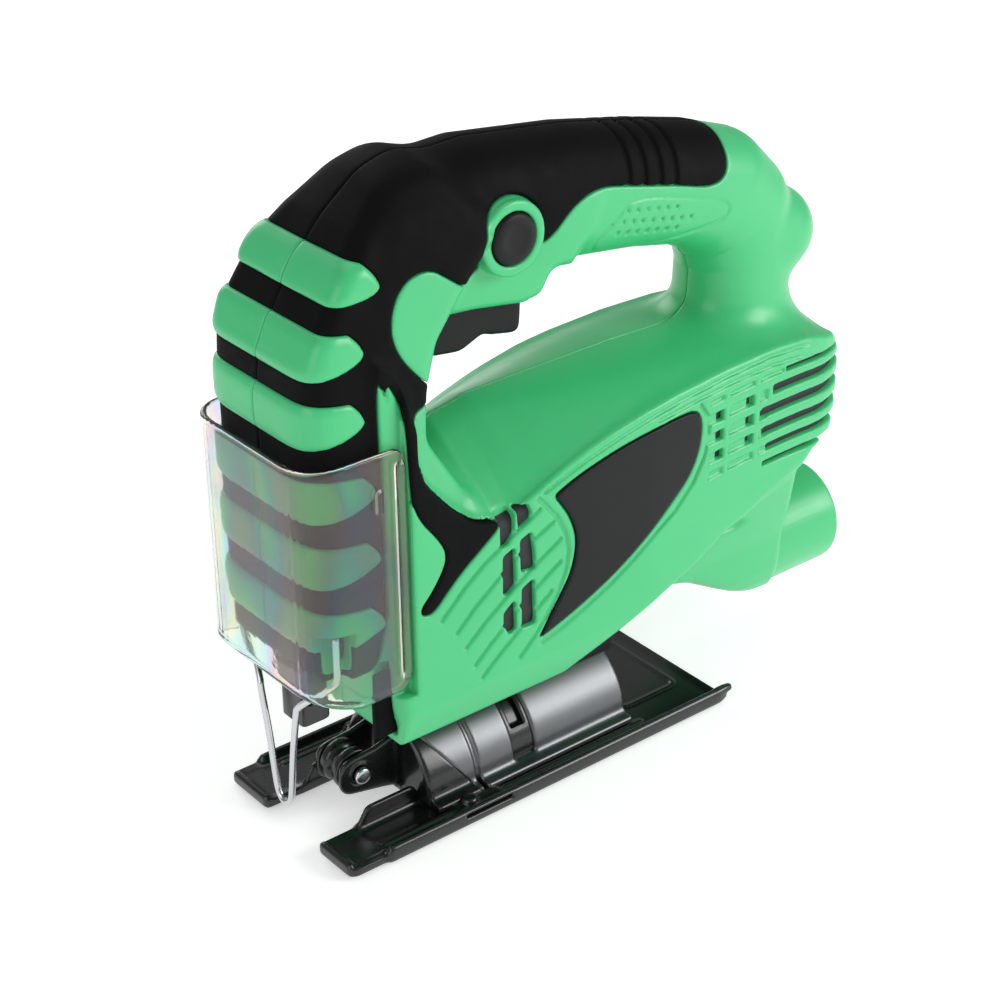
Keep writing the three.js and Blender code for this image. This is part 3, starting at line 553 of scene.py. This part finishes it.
BARS = [  # near end x, height there, height at the front, half height
    (23, 168.5, 175, 5.6), (16, 152.5, 155, 5.6), (14.8, 134, 136, 5.8), (17, 113, 115, 5.6),
    (17.5, 93.5, 95.5, 5.6), (18, 73.5, 75.5, 5.6),
]
BADGE = softened([
    (68.3, 51.2), (69.5, 52.6), (72.5, 57), (76.5, 62.5), (80, 68), (81.8, 74), (82, 80), (80, 86),
    (77, 91), (74.2, 94.8), (76, 95.6), (81, 97.6), (90, 100), (100, 102), (110, 103.2),
    (120, 104), (126.5, 104), (129.2, 101.8), (130, 97), (128.8, 90), (125, 83), (118, 77),
    (110, 70.6), (100, 64), (90, 59), (80, 55), (74, 53),
], 2)
S_GROOVE = softened([
    (61, 47.6), (67, 53), (71.5, 58), (75.6, 64), (78.2, 70), (79.2, 76), (78, 82), (75, 88),
    (71, 93), (68.4, 96)], 0)
TOP_GROOVES = [
    [(70.5, 97), (77, 99.2), (85, 101.8), (100, 105.4), (110, 107.3), (120, 108.7), (140, 110.4),
     (158, 110.9), (176, 109.6), (192, 105.6)],
    [(113, 105.3), (121, 106.1), (130, 107), (145, 107.9), (160, 107.7), (178, 106.1), (194, 102)],
]
BADGE_GROOVE = [(129.4, 105), (132.6, 100), (133, 95), (131.6, 88), (127.5, 81), (120, 74),
                (112, 69.2), (104, 64), (95, 59), (85, 54.6), (76, 51.2), (69, 49.4)]
SLANTS = [
    [(34, 70.2), (42, 77.5), (49, 82.5), (57, 86.6), (65, 90.4), (69, 92.6)],
    [(39, 64.2), (46, 70.5), (55, 76.8), (61, 80.6), (67, 84), (74.3, 87.2)],
    [(42, 58.2), (49, 64), (57, 69.5), (67, 75.6), (76.4, 80.6)],
    [(45, 51.3), (51, 56.5), (58, 61.6), (67, 68), (76.2, 73.4)],
    [(47.5, 46.4), (53, 51), (60, 56), (67, 60.8), (73, 65)],
]
TRIGGER = rounded([
    (46.4, 154.3), (47.2, 138, 4), (51, 135.9, 3), (60, 134.6, 8), (67.5, 137.6, 4),
    (71, 136.4, 2.5), (80.6, 134.4, 3), (81.4, 145.6), (79.8, 150), (80, 154.3),
])
DOT_PANEL = softened([
    (101, 155), (106, 162), (110.5, 167), (117, 167.8), (130, 164.6), (143, 160.6), (149.5, 158),
    (151, 155), (147, 152.4), (130, 150), (110, 150),
])
FRONT_VENTS = [
    [(55, 94.6), (56, 95.4), (59, 95.4), (59.8, 94), (59.6, 88.3), (57.4, 85.6), (55.2, 85.2)],
    [(60.7, 95.4), (64.6, 95.4), (65.9, 92), (65.6, 90.6), (61.4, 88.8), (61.2, 94)],
    [(56, 82), (59.9, 83.6), (60.2, 71.6), (57.2, 69.4), (55.9, 70.6)],
    [(62, 85), (65.8, 86.4), (66.8, 80), (67.2, 74.4), (62.3, 75.2)],
    [(56, 64), (59.8, 67), (60.1, 57), (57.6, 57), (56, 60.4)],
    [(62.5, 69.4), (66.6, 71.2), (67, 57), (62.5, 57)],
]
LOUVRES = [(166, 103.2, 1.5), (160.5, 97.4, 3.0), (156.2, 91, 3.1), (157.2, 84.8, 2.8),
           (158.6, 79.4, 2.3), (157, 74.6, 1.5)]  # left end x, lower edge, height
CELLS = [(103.4, 1.3), (96.9, 3.2), (90.6, 3.2), (84.5, 2.9), (79.2, 2.2)]
SCREWS = [(24, 134), (112, 171), (171, 124), (192, 96), (100, 52), (150, 60)]
SCREW_HEAD_R, SCREW_SEAT, BOSS_R = 4, 6.3, 4.2
DOT_ROWS = [  # first dot, then the step and the drop between dots, and how many
    (111.5, 165.2, 3.7, 0.68, 6), (110.4, 162, 3.65, 0.7, 8), (109.2, 158.7, 3.7, 0.68, 7),
]
DOT_R = 0.62


def bow(x, z):
    """The gentle arch of the horizontal ribs on the side of the motor housing."""
    return z + 0.6 * (1 - ((x - 157) / 22) ** 2)


def carve(field, form, region, depth, k=0.5):
    """A recess of that depth below the outer form, inside a region."""
    return smax(field, -smax(region, -(form + depth), k), k)


def raise_up(field, form, region, height, k=0.8):
    """A boss that stands that high above the outer form, inside a region."""
    return smin(field, smax(region, form - height, k), k)


def bars_region(g):
    """Crescent bars across the nose: blunt above and swept up below at their near ends."""
    region = 1e3
    for near, low, high, half in BARS:
        x = np.clip(g.x, -4, near + 8)
        middle = high + (low - high) * np.clip(x / near, 0, 1)
        above = half * np.sqrt(np.clip((near - g.x) / 4, 0, 1))
        below = half * (1.35 * np.sqrt(np.clip((near - g.x) / 17, 0, 1)) - 0.35)
        d = np.maximum(np.maximum(g.z - middle - above, middle - below - g.z), g.x - near)
        region = np.minimum(region, d)
    return region


def plunger_way(g):
    """The hole under the nose that the plunger comes out of."""
    return g.block((3.6, -6, 50), (14.4, 6, 66), 0.2)


def wire_way(g):
    """The slot in the nose that holds one end of the bent wire."""
    return g.block((-10, 19.5, 50), (8, 30, 75), 0.2)


def guard_recess(g):
    """The flat on the side of the nose that the chip guard's legs slide along."""
    return np.maximum(np.maximum(g.x - 25.5, 26.2 - g.y), np.maximum(50 - g.z, g.z - 152))


def shell_field(g, form, left):
    """One half of the green shell, with the seat for the soft grip and every recess."""
    soft = g.side(SOFT)
    bars = bars_region(g)
    ring = np.hypot(g.x - BUTTON[0], g.z - BUTTON[2])
    grip_seat = np.maximum(np.maximum(soft, -(bars - 0.3)), -(ring - RING_R - 0.4))
    f = carve(form, form, grip_seat - 0.12, SOFT_DEPTH, 0.3)
    f = raise_up(f, form, bars, BAR_RISE, 3.0)
    f = carve(f, form, g.side(BADGE) - 0.35, BADGE_DEPTH, 0.3)
    far = 26 - g.y  # keeps the grooves on the side of the motor housing
    for line in [S_GROOVE, BADGE_GROOVE, *TOP_GROOVES]:
        f = carve(f, form, np.maximum(g.side_line(line) - GROOVE, far), GROOVE_DEPTH, 0.4)
    for line in SLANTS:
        f = carve(f, form, np.maximum(g.side_line(line) - FINE_GROOVE, far), 1.0)
    for vent in FRONT_VENTS:
        hole = g.side(rounded([(*corner, 1) for corner in vent])) - 0.35
        f = carve(f, form, np.maximum(hole, far), 9, 0.5)
    for z, height in CELLS:
        low = bow(g.x, z)
        band = np.maximum(low - g.z, g.z - low - height)
        for start, end in ((133.2, 139.4), (141.6, 152.2), (154.6, 165 if z > 100 else 158)):
            cell = np.maximum(np.maximum(start - g.x, g.x - end), band)
            f = carve(f, form, np.maximum(cell, far), 1.0, 0.6)
            if end < 153 and 84 < z < 100:
                window = np.maximum(np.maximum(end - 2.4 - g.x, g.x - end), band)
                f = carve(f, form, np.maximum(window, far), 8, 0.5)
    for start, z, height in LOUVRES:
        low = bow(np.minimum(g.x, 182), z)
        slit = np.maximum(np.maximum(low - g.z, g.z - low - height), start - g.x)
        f = carve(f, form, slit, 4.5, 0.9)
    f = carve(f, form, np.maximum(np.abs(g.side(DOT_PANEL)) - 0.45, 10 - g.y), 0.45, 0.4)
    dimple = np.hypot((g.x - 150) / 5.5, (g.z - 54.5) / 1.9) - 1
    f = carve(f, form, np.maximum(dimple * 1.6, 12 - g.y), 1.3, 1.2)
    if left:  # the lock button's ring and its hole; the other half has the screw holes
        f = raise_up(f, form, smax(ring - RING_R, g.y - 19.6, 1.0), 30, 0.8)
        f = smax(f, -smax(ring - BUTTON_R - 0.3, 4 - g.y, 0.3), 0.6)
    else:
        for x, z in SCREWS:
            hole = np.hypot(g.x - x, g.z - z) - SCREW_HEAD_R
            f = smax(f, -np.maximum(hole, SCREW_SEAT - g.y), 0.4)
    for x, z, step, drop, count in DOT_ROWS:
        for i in range(count):
            dot = np.hypot(g.x - x - step * i, g.z - z + drop * i) - DOT_R
            f = carve(f, form, np.maximum(dot, 10 - g.y), 0.8, 0.4)
    from_port = np.hypot(g.y, g.z - PORT_Z)
    f = np.minimum(f, smax(from_port - PORT_R, np.abs(g.x - 187) - 17, 1.2))
    f = np.maximum(f, -np.maximum(from_port - PORT_BORE, 130 - g.x))
    hollow = form + WALL
    for x, z in SCREWS:
        hollow = np.maximum(hollow, BOSS_R - np.hypot(g.x - x, g.z - z))
    f = np.maximum(f, -hollow)
    ways = [
        plunger_way(g), g.block((33, -14, 25), (112, 14, 46), 0.2),
        g.block((45.5, -8.3, 136), (80.5, 8.3, 158), 1.0),
        g.rod("x", (0, 0, CORD_Z), 180, 205, 5.3), g.rod("x", (0, 0, CORD_Z), 176, 187.6, 6.8),
        np.maximum(wire_way(g), 19.5 - g.y),
    ]
    for way in ways:
        f = smax(f, -way, 0.4)
    f = smax(f, -guard_recess(g), 0.5)
    f = smax(f, -g.block((10, 22.4, 36), (22.6, 25, 62), 0.4), 0.5)  # the black strip's slot
    return smax(f, SEAM - g.y, 0.25)


def shade_sheet_field(g, form):
    """A dark inner sheet of painted shade that closes the view through the vents, standing in for
    the shaded inside of the housing.
    """
    near_vents = np.minimum(np.maximum(np.abs(g.x - 61) - 8, np.abs(g.z - 76) - 21), np.minimum(
        np.maximum(np.abs(g.x - 143) - 10.5, np.abs(g.z - 92) - 10),
        np.maximum(154.5 - g.x, np.abs(g.z - 90) - 17)))
    # Near the vents the painted shade sheet comes up to 1.9 mm under the surface, so the vents look
    # dark inside
    depth = 4.5 - 2.6 * np.clip(0.5 - near_vents / 1.5, 0, 1)
    f = smax(form + depth, -(form + 7.2), 0.2)
    for way in (g.block((-5, -9, 40), (21, 9, 70), 0.2), g.block((31, -16, 20), (114, 16, 49), 0.2),
                g.block((43, -10, 134), (83, 10, 160), 1.0),
                g.rod("x", (0, 0, CORD_Z), 174, 205, 8),
                g.rod("x", (0, 0, PORT_Z), 128, 206, 15.5),
                g.block((-4, 18, 48), (9, 31, 77), 0.2),
                g.rod("y", BUTTON, 2, 40, RING_R)):
        f = np.maximum(f, -way)
    return np.maximum(f, 0.15 - g.y)


def grip_field(g, form):
    """One half of the soft black overmould, with its ridges and the black strip of the nose."""
    ring = np.hypot(g.x - BUTTON[0], g.z - BUTTON[2])
    region = smax(g.side(SOFT) + 0.12, -(bars_region(g) - 0.45), 0.4)
    region = np.maximum(region, -(ring - RING_R - 0.6))
    f = smax(smax(form - 0.1, -(form + 1.5), 0.1), region, 0.9)
    f = smax(f, -plunger_way(g), 0.3)
    f = np.minimum(f, g.block((14.5, 22.5, 37), (21.8, 24.9, 58), 0.4))
    f = smax(f, -wire_way(g), 0.3)
    for x in (112, 118, 124, 130):
        line = np.abs(g.x - x - 0.16 * (g.z - 172)) - 0.7
        f = carve(f, form, np.maximum(line, 172 - g.z - 0.2 * (x - 112)), 0.7, 0.7)
    f = smax(f, -guard_recess(g), 0.4)
    return smax(f, SEAM - g.y, 0.25)


def housing():
    low, high = (-4, -0.6, 13), (206, 32, 197)
    g = Grid(low, high, 0.58)
    form = housing_form(g)
    coarse = Grid(low, high, 1.3)
    # The dark sheet inside the shell is painted shade, seen through the vents
    shade_sheet = shade_sheet_field(coarse, housing_form(coarse))
    for side, left in (("left", True), ("right", False)):
        solid("shell_" + side, shell_field(g, form, left), g, GREEN, "tool_body",
              ["housing_" + side], mirror=left)
        solid("soft_grip_" + side, grip_field(g, form), g, RUBBER, "tool_body",
              ["grip_" + side], mirror=left)
        # painted shade: a dark sheet inside the shell behind the vents
        solid("dark_shade_sheet_" + side, shade_sheet, coarse, CARBON_AND_SHADE, "tool_body",
              ["housing_" + side], mirror=left)
        plate = smax(smax(form - 0.35, -(form + 1.0), 0.2), g.side(BADGE), 0.5)
        plate = np.maximum(plate, 20 - g.y)
        solid("badge_plate_" + side, plate, g, BLACK, "tool_body",
              ["badge_" + side], mirror=left)


housing()


# ---- Base plate, saddle and roller -------------------------------------------------------------
TILT_Z = 4  # height of the axis that the base tilts about
AXLE = (20.4, 0, 13.5)  # the roller's centre


def base_plate():
    g = Grid((-1, -32.6, -1.2), (147, 32.6, 9.6), (0.7, 0.7, 0.4))
    outline = rounded([
        (0, -14, 2), (0, -31, 3), (141, -31, 2), (141, 31, 2), (0, 31, 3), (0, 11.5, 2),
        (35, 11.5, 3), (35, -14, 3),
    ])
    plan = g.top(outline)
    dish = 0.7 * np.clip(1 - np.minimum(-plan, 40) / 3, 0, 1)
    f = smax(plan, np.maximum(-g.z, g.z - 2 - dish), 0.5)
    for y0, y1 in ((-29.5, -15), (12.5, 29.5)):
        f = smin(f, g.block((0, y0, 0.4), (1.7, y1, 4), 0.8), 1.5)
    for side in (-1, 1):
        start = 13 if side < 0 else 10
        rail = g.block((start, side * 30.2 - 1.0, 0), (143, side * 30.2 + 1.0, 4.6), 0.95)
        tip = g.rod("x", (0, side * 30.1, 3.2), 138, 145, 1.3, 1.3)
        f = smin(smin(f, rail, 2.2), tip, 0.8)
        bead = smax(np.abs(g.y - side * 25.6) - 0.9, np.maximum(14 - g.x, g.x - 112), 1)
        f = smin(f, smax(bead, np.abs(g.z - 2) - 0.7, 0.6), 0.9)
        f = smax(f, -g.block((40, side * 30.2 - 3, 2.3), (57, side * 30.2 + 3, 3.5), 0.3), 0.3)
    flange = g.side(rounded([(12, 1), (16.5, 8.2, 3), (33, 8.2, 3), (37, 1)]))
    for y in (-15.6, 11.5):
        f = smin(f, smax(flange, np.abs(g.y - y - 0.8) - 0.8, 0.6), 1.6)
    for y in (-25.8, 25.8):
        f = smin(f, g.block((39, y - 2.6, 1), (56, y + 2.6, 3.2), 1.2), 1.6)
        f = smin(f, g.rod("z", (45, y, 0), 1, 5, 2.6, 1.2), 0.6)
    pad = g.top(rounded([(112, -17, 3), (134, -17, 3), (134, 17, 3), (112, 17, 3)]))
    f = smin(f, smax(np.abs(pad) - 0.7, g.z - 2.5, 0.6), 0.6)
    f = smax(f, -g.block((42, -17.4, -2), (104, 17.4, 5), 1.5), 0.5)
    solid("base_plate_steel", f, g, PAINT, "base", ["base_plate"])


def saddle():
    g = Grid((33, -26, 1.5), (110, 26, 26), 0.5)
    r = np.hypot(g.y, g.z - TILT_Z)
    ring = smax(np.abs(r - 19.9) - 1.1, 2.3 - g.z, 0.4)
    feet = np.minimum(g.block((0, -25, 2.3), (200, -19, 4.6), 0.9),
                      g.block((0, 19, 2.3), (200, 25, 4.6), 0.9))
    f = smin(ring, feet, 2.2)
    f = smax(f, np.abs(g.x - 72.5) - 36.5, 0.8)
    sloped = (36.5 + np.maximum(23 - g.z, 0) * 0.72 - g.x) * 0.81
    f = smax(f, sloped, 0.5)
    f = smax(f, -np.maximum(np.abs(g.x - 52.4) - 0.8, 20.2 - r), 0.4)
    f = smax(f, -g.block((66, -22.4, 5.2), (74, 22.4, 40), 1), 0.7)
    solid("saddle_bow", f, g, ALUMINIUM, "base", ["saddle"])
    cheek = smax(smax(r - 20.2, 2.3 - g.z, 0.4), np.abs(g.x - 42.6) - 7.9, 0.6)
    cheek = smax(cheek, -smax(r - 18.4, 35.6 - g.x, 0.3), 0.4)
    skirt = smax(smin(np.maximum(r - 20.7, 2.3 - g.z), feet, 2.2), -(sloped + 0.35), 0.3)
    skirt = smax(smax(skirt, 35.2 - g.x, 0.6), -(r - 19), 0.3)
    band = smax(smax(np.abs(r - 19.5) - 0.7, np.abs(g.x - 70) - 4.4, 0.3), 4.6 - g.z, 0.3)
    band = smax(band, -smax(np.abs(g.x - 70) - 2.4, np.abs(g.y) - 17.2, 0.5), 0.3)
    f = np.minimum(np.minimum(cheek, skirt), band)
    solid("front_bracket", f, g, PAINT, "base", ["base_plate"])
    shoe = smax(smax(np.abs(r - 17.2) - 1.2, np.abs(g.x - 70) - 8, 0.4), np.abs(g.y) - 15.5, 0.4)
    shoe = smax(shoe, 4 - g.z, 0.4)
    shoe = np.maximum(shoe, 2.4 - np.hypot(g.x - 70, g.y))
    solid("bevel_shoe", shoe, g, PAINT, "tool_body", ["bevel_clamp"])


def roller_group():
    g = Grid((11, -9.6, 1.6), (43, 9.6, 24), 0.42)
    cheek = g.side(rounded([(13.8, 8, 5), (13.8, 18.6, 5), (26, 19.6, 6), (35.6, 22), (35.6, 3),
                            (28, 5, 6)]))
    f = np.minimum(smax(cheek, np.abs(g.y + 5.7) - 0.9, 0.7),
                   smax(cheek, np.abs(g.y - 5.7) - 0.9, 0.7))
    f = smin(f, g.block((33.4, -6.6, 3), (35.6, 6.6, 22), 0.6), 1.5)
    f = smin(f, g.block((33.4, -6.6, 2.3), (41.7, 6.6, 4.3), 0.6), 1.5)
    r = np.hypot(g.x - AXLE[0], g.z - AXLE[2])
    f = smax(f, -(r - 1.8), 0.3)
    f = smin(f, np.hypot(r - 3.2, np.abs(g.y) - 6.6) - 0.45, 0.5)
    solid("roller_fork", f, g, PAINT, "base", ["roller_bracket"])
    pin = g.rod("y", AXLE, -8.9, 8.3, 1.5, 0.6)
    head = g.rod("y", AXLE, -8.9, -7, 2.6, 0.7)
    pin = smin(pin, head, 0.5)
    solid("roller_axle", pin, g, STEEL, "base", ["roller_pin"])
    wheel = smax(r - 6.6 + 2.1 * np.exp(-((g.y / 1.1) ** 2)), np.abs(g.y) - 4.4, 0.9)
    wheel = smax(wheel, 1.8 - r, 0.3)
    spots = (np.arctan2(g.z - AXLE[2], g.x - AXLE[0]) * 6 / (2 * math.pi)) % 1 - 0.5
    dimple = np.hypot(spots * 4.2, r - 4.3) - 0.6
    wheel = smax(wheel, -np.maximum(dimple, 4 - np.abs(g.y)), 0.3)
    solid("roller_wheel", wheel, g, PAINT, "roller", ["guide_roller"])


# ---- Chip guard and wire guard -----------------------------------------------------------------
def guards():
    g = Grid((-7.2, -30, 50), (26.5, 30, 128), 0.55)
    u = rounded([(-6.3, -28.2, 12), (-6.3, 28.2, 12), (90, 28.2), (90, -28.2)], 8)
    wall = np.abs(g.top(u) + 0.8) - 0.8
    side = g.side(rounded([(-20, 54), (-20, 126), (24.6, 126, 4), (24.6, 52, 5), (8, 52, 10),
                           (-6.5, 57, 8), (-9, 57)]))
    f = smax(wall, side, 1.0)
    f = smin(f, np.hypot(np.maximum(wall + 0.8, 0), side + 0.9) - 0.9, 0.6)
    for y in (-28.4, 28.4):
        rail = g.block((21.5, y - 0.7, 56), (24.5, y + 0.7, 122), 0.6)
        f = smin(f, rail, 0.8)
        f = smin(f, g.block((15, y - 0.5, 109), (17.2, y + 0.6, 116), 0.5), 0.6)
    solid("clear_chip_guard", f, g, CLEAR, "guard", ["chip_guard"])

    half = [(4, 22.4, 73), (4, 22.3, 66), (4, 22.1, 60), (2.6, 20, 56.6), (1, 14, 51),
            (-0.6, 9.6, 46.6), (-1, 8.6, 43.5), (-1, 6, 30), (-1, 4, 16), (-1, 3, 12.2),
            (-1, 1.6, 10.4), (-1, 0, 9.9)]
    wire = np.array(half + [(x, -y, z) for x, y, z in half[-2::-1]], float)
    smooth = []
    padded = np.vstack([2 * wire[0] - wire[1], wire, 2 * wire[-1] - wire[-2]])
    for i in range(1, len(padded) - 2):
        a, b, c, d = padded[i - 1:i + 3]
        for t in np.arange(0, 1, 0.2):
            smooth.append(0.5 * (2 * b + (c - a) * t + (2 * a - 5 * b + 4 * c - d) * t ** 2
                                 + (3 * b - a - 3 * c + d) * t ** 3))
    smooth.append(wire[-1])
    tube("bent_wire", np.array(smooth), 1.0, STEEL, "tool_body", ["wire_guard"])


def tube(name, line, radius, material, body, replaces):
    """A round bar along a line, with domed ends."""
    sides = 16
    along = np.gradient(line, axis=0)
    along /= np.linalg.norm(along, axis=1)[:, None]
    across = np.cross(along, (1.0, 0, 0))
    across /= np.linalg.norm(across, axis=1)[:, None]
    third = np.cross(along, across)
    points, faces = [], []
    centres = [(line[0] - along[0] * radius * math.sin(a), radius * math.cos(a), 0)
               for a in (1.2, 0.6)]
    centres += [(p, radius, i) for i, p in enumerate(line)]
    centres += [(line[-1] + along[-1] * radius * math.sin(a), radius * math.cos(a), -1)
                for a in (0.6, 1.2)]
    for centre, size, i in centres:
        for k in range(sides):
            a = 2 * math.pi * k / sides
            points.append(centre + size * (math.cos(a) * across[i] + math.sin(a) * third[i]))
    for i in range(len(centres) - 1):
        for k in range(sides):
            n = (k + 1) % sides
            faces.append((i * sides + k, i * sides + n, (i + 1) * sides + n, (i + 1) * sides + k))
    last = (len(centres) - 1) * sides
    faces.append(tuple(range(sides - 1, -1, -1)))
    faces.append(tuple(last + k for k in range(sides)))
    object_from(name, points, faces, material, body, replaces)


# ---- Trigger and buttons -----------------------------------------------------------------------
def controls():
    g = Grid((44, -9.5, 131), (85, 9.5, 162), 0.5)
    paddle = g.side(TRIGGER)
    f = smax(paddle, np.abs(g.y) - 7.6, 2.2)
    well = np.hypot(g.x - 56, g.z - 138.5)
    f = smax(f, -np.maximum(well - 5.0, np.abs(g.y) - 3.3), 0.5)
    f = smax(f, -g.block((60, -3.8, 152.6), (64, 3.8, 170), 0.3), 0.3)
    solid("trigger_paddle_skin", f, g, BLACK, "trigger_paddle", ["trigger"])

    x, _, z = BUTTON
    g = Grid((x - 8.5, -21.4, z - 8.5), (x + 8.5, -12.4, z + 8.5), 0.34)
    r = np.hypot(g.x - x, g.z - z)
    dome = -20.6 + 0.35 * (r / 6) ** 4 + 0.5 * np.exp(-(r / 4.2) ** 4)
    f = smax(r - BUTTON_R, np.maximum(dome - g.y, g.y + 13), 0.9)
    solid("lock_button_cap", f, g, BLACK, "button", ["lock_button"])


base_plate()
saddle()
roller_group()
guards()
controls()


# ---- Floor and light ---------------------------------------------------------------------------
def stage():
    size = 4
    mesh = bpy.data.meshes.new("floor")
    mesh.from_pydata([(-size, -size, 0), (size, -size, 0), (size, size, 0), (-size, size, 0)], [],
                     [(0, 1, 2, 3)])
    floor = bpy.data.objects.new("floor", mesh)
    floor.location.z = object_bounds()[0].z - 0.0002
    bpy.context.scene.collection.objects.link(floor)
    material = bpy.data.materials.new("floor")
    material.use_nodes = True
    shader = material.node_tree.nodes["Principled BSDF"]
    shader.inputs["Base Color"].default_value = (0.9, 0.9, 0.9, 1)
    shader.inputs["Roughness"].default_value = 0.7
    shader.inputs["Emission Color"].default_value = (1, 1, 1, 1)
    shader.inputs["Emission Strength"].default_value = 0.45
    mesh.materials.append(material)
    floor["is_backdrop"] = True

    world = bpy.data.worlds.new("studio")
    world.use_nodes = True
    world.node_tree.nodes["Background"].inputs["Color"].default_value = (1, 1, 1, 1)
    world.node_tree.nodes["Background"].inputs["Strength"].default_value = 0.34
    bpy.context.scene.world = world
    for name, place, size, power in (
            ("key", (0.85, -0.95, 0.6), 0.7, 11.5), ("front", (-1.0, -0.35, 0.5), 0.8, 3.5),
            ("top", (0.1, 0.3, 1.3), 0.8, 2.4), ("back", (0.1, 1.1, 0.5), 0.6, 3)):
        data = bpy.data.lights.new(name, "AREA")
        data.size, data.energy = size, power
        lamp = bpy.data.objects.new(name, data)
        lamp.location = place
        lamp.rotation_mode = "QUATERNION"
        lamp.rotation_quaternion = (Vector((0, 0, 0.08)) - Vector(place)).to_track_quat("-Z", "Y")
        bpy.context.scene.collection.objects.link(lamp)
    bpy.context.scene.view_settings.view_transform = "Standard"


stage()
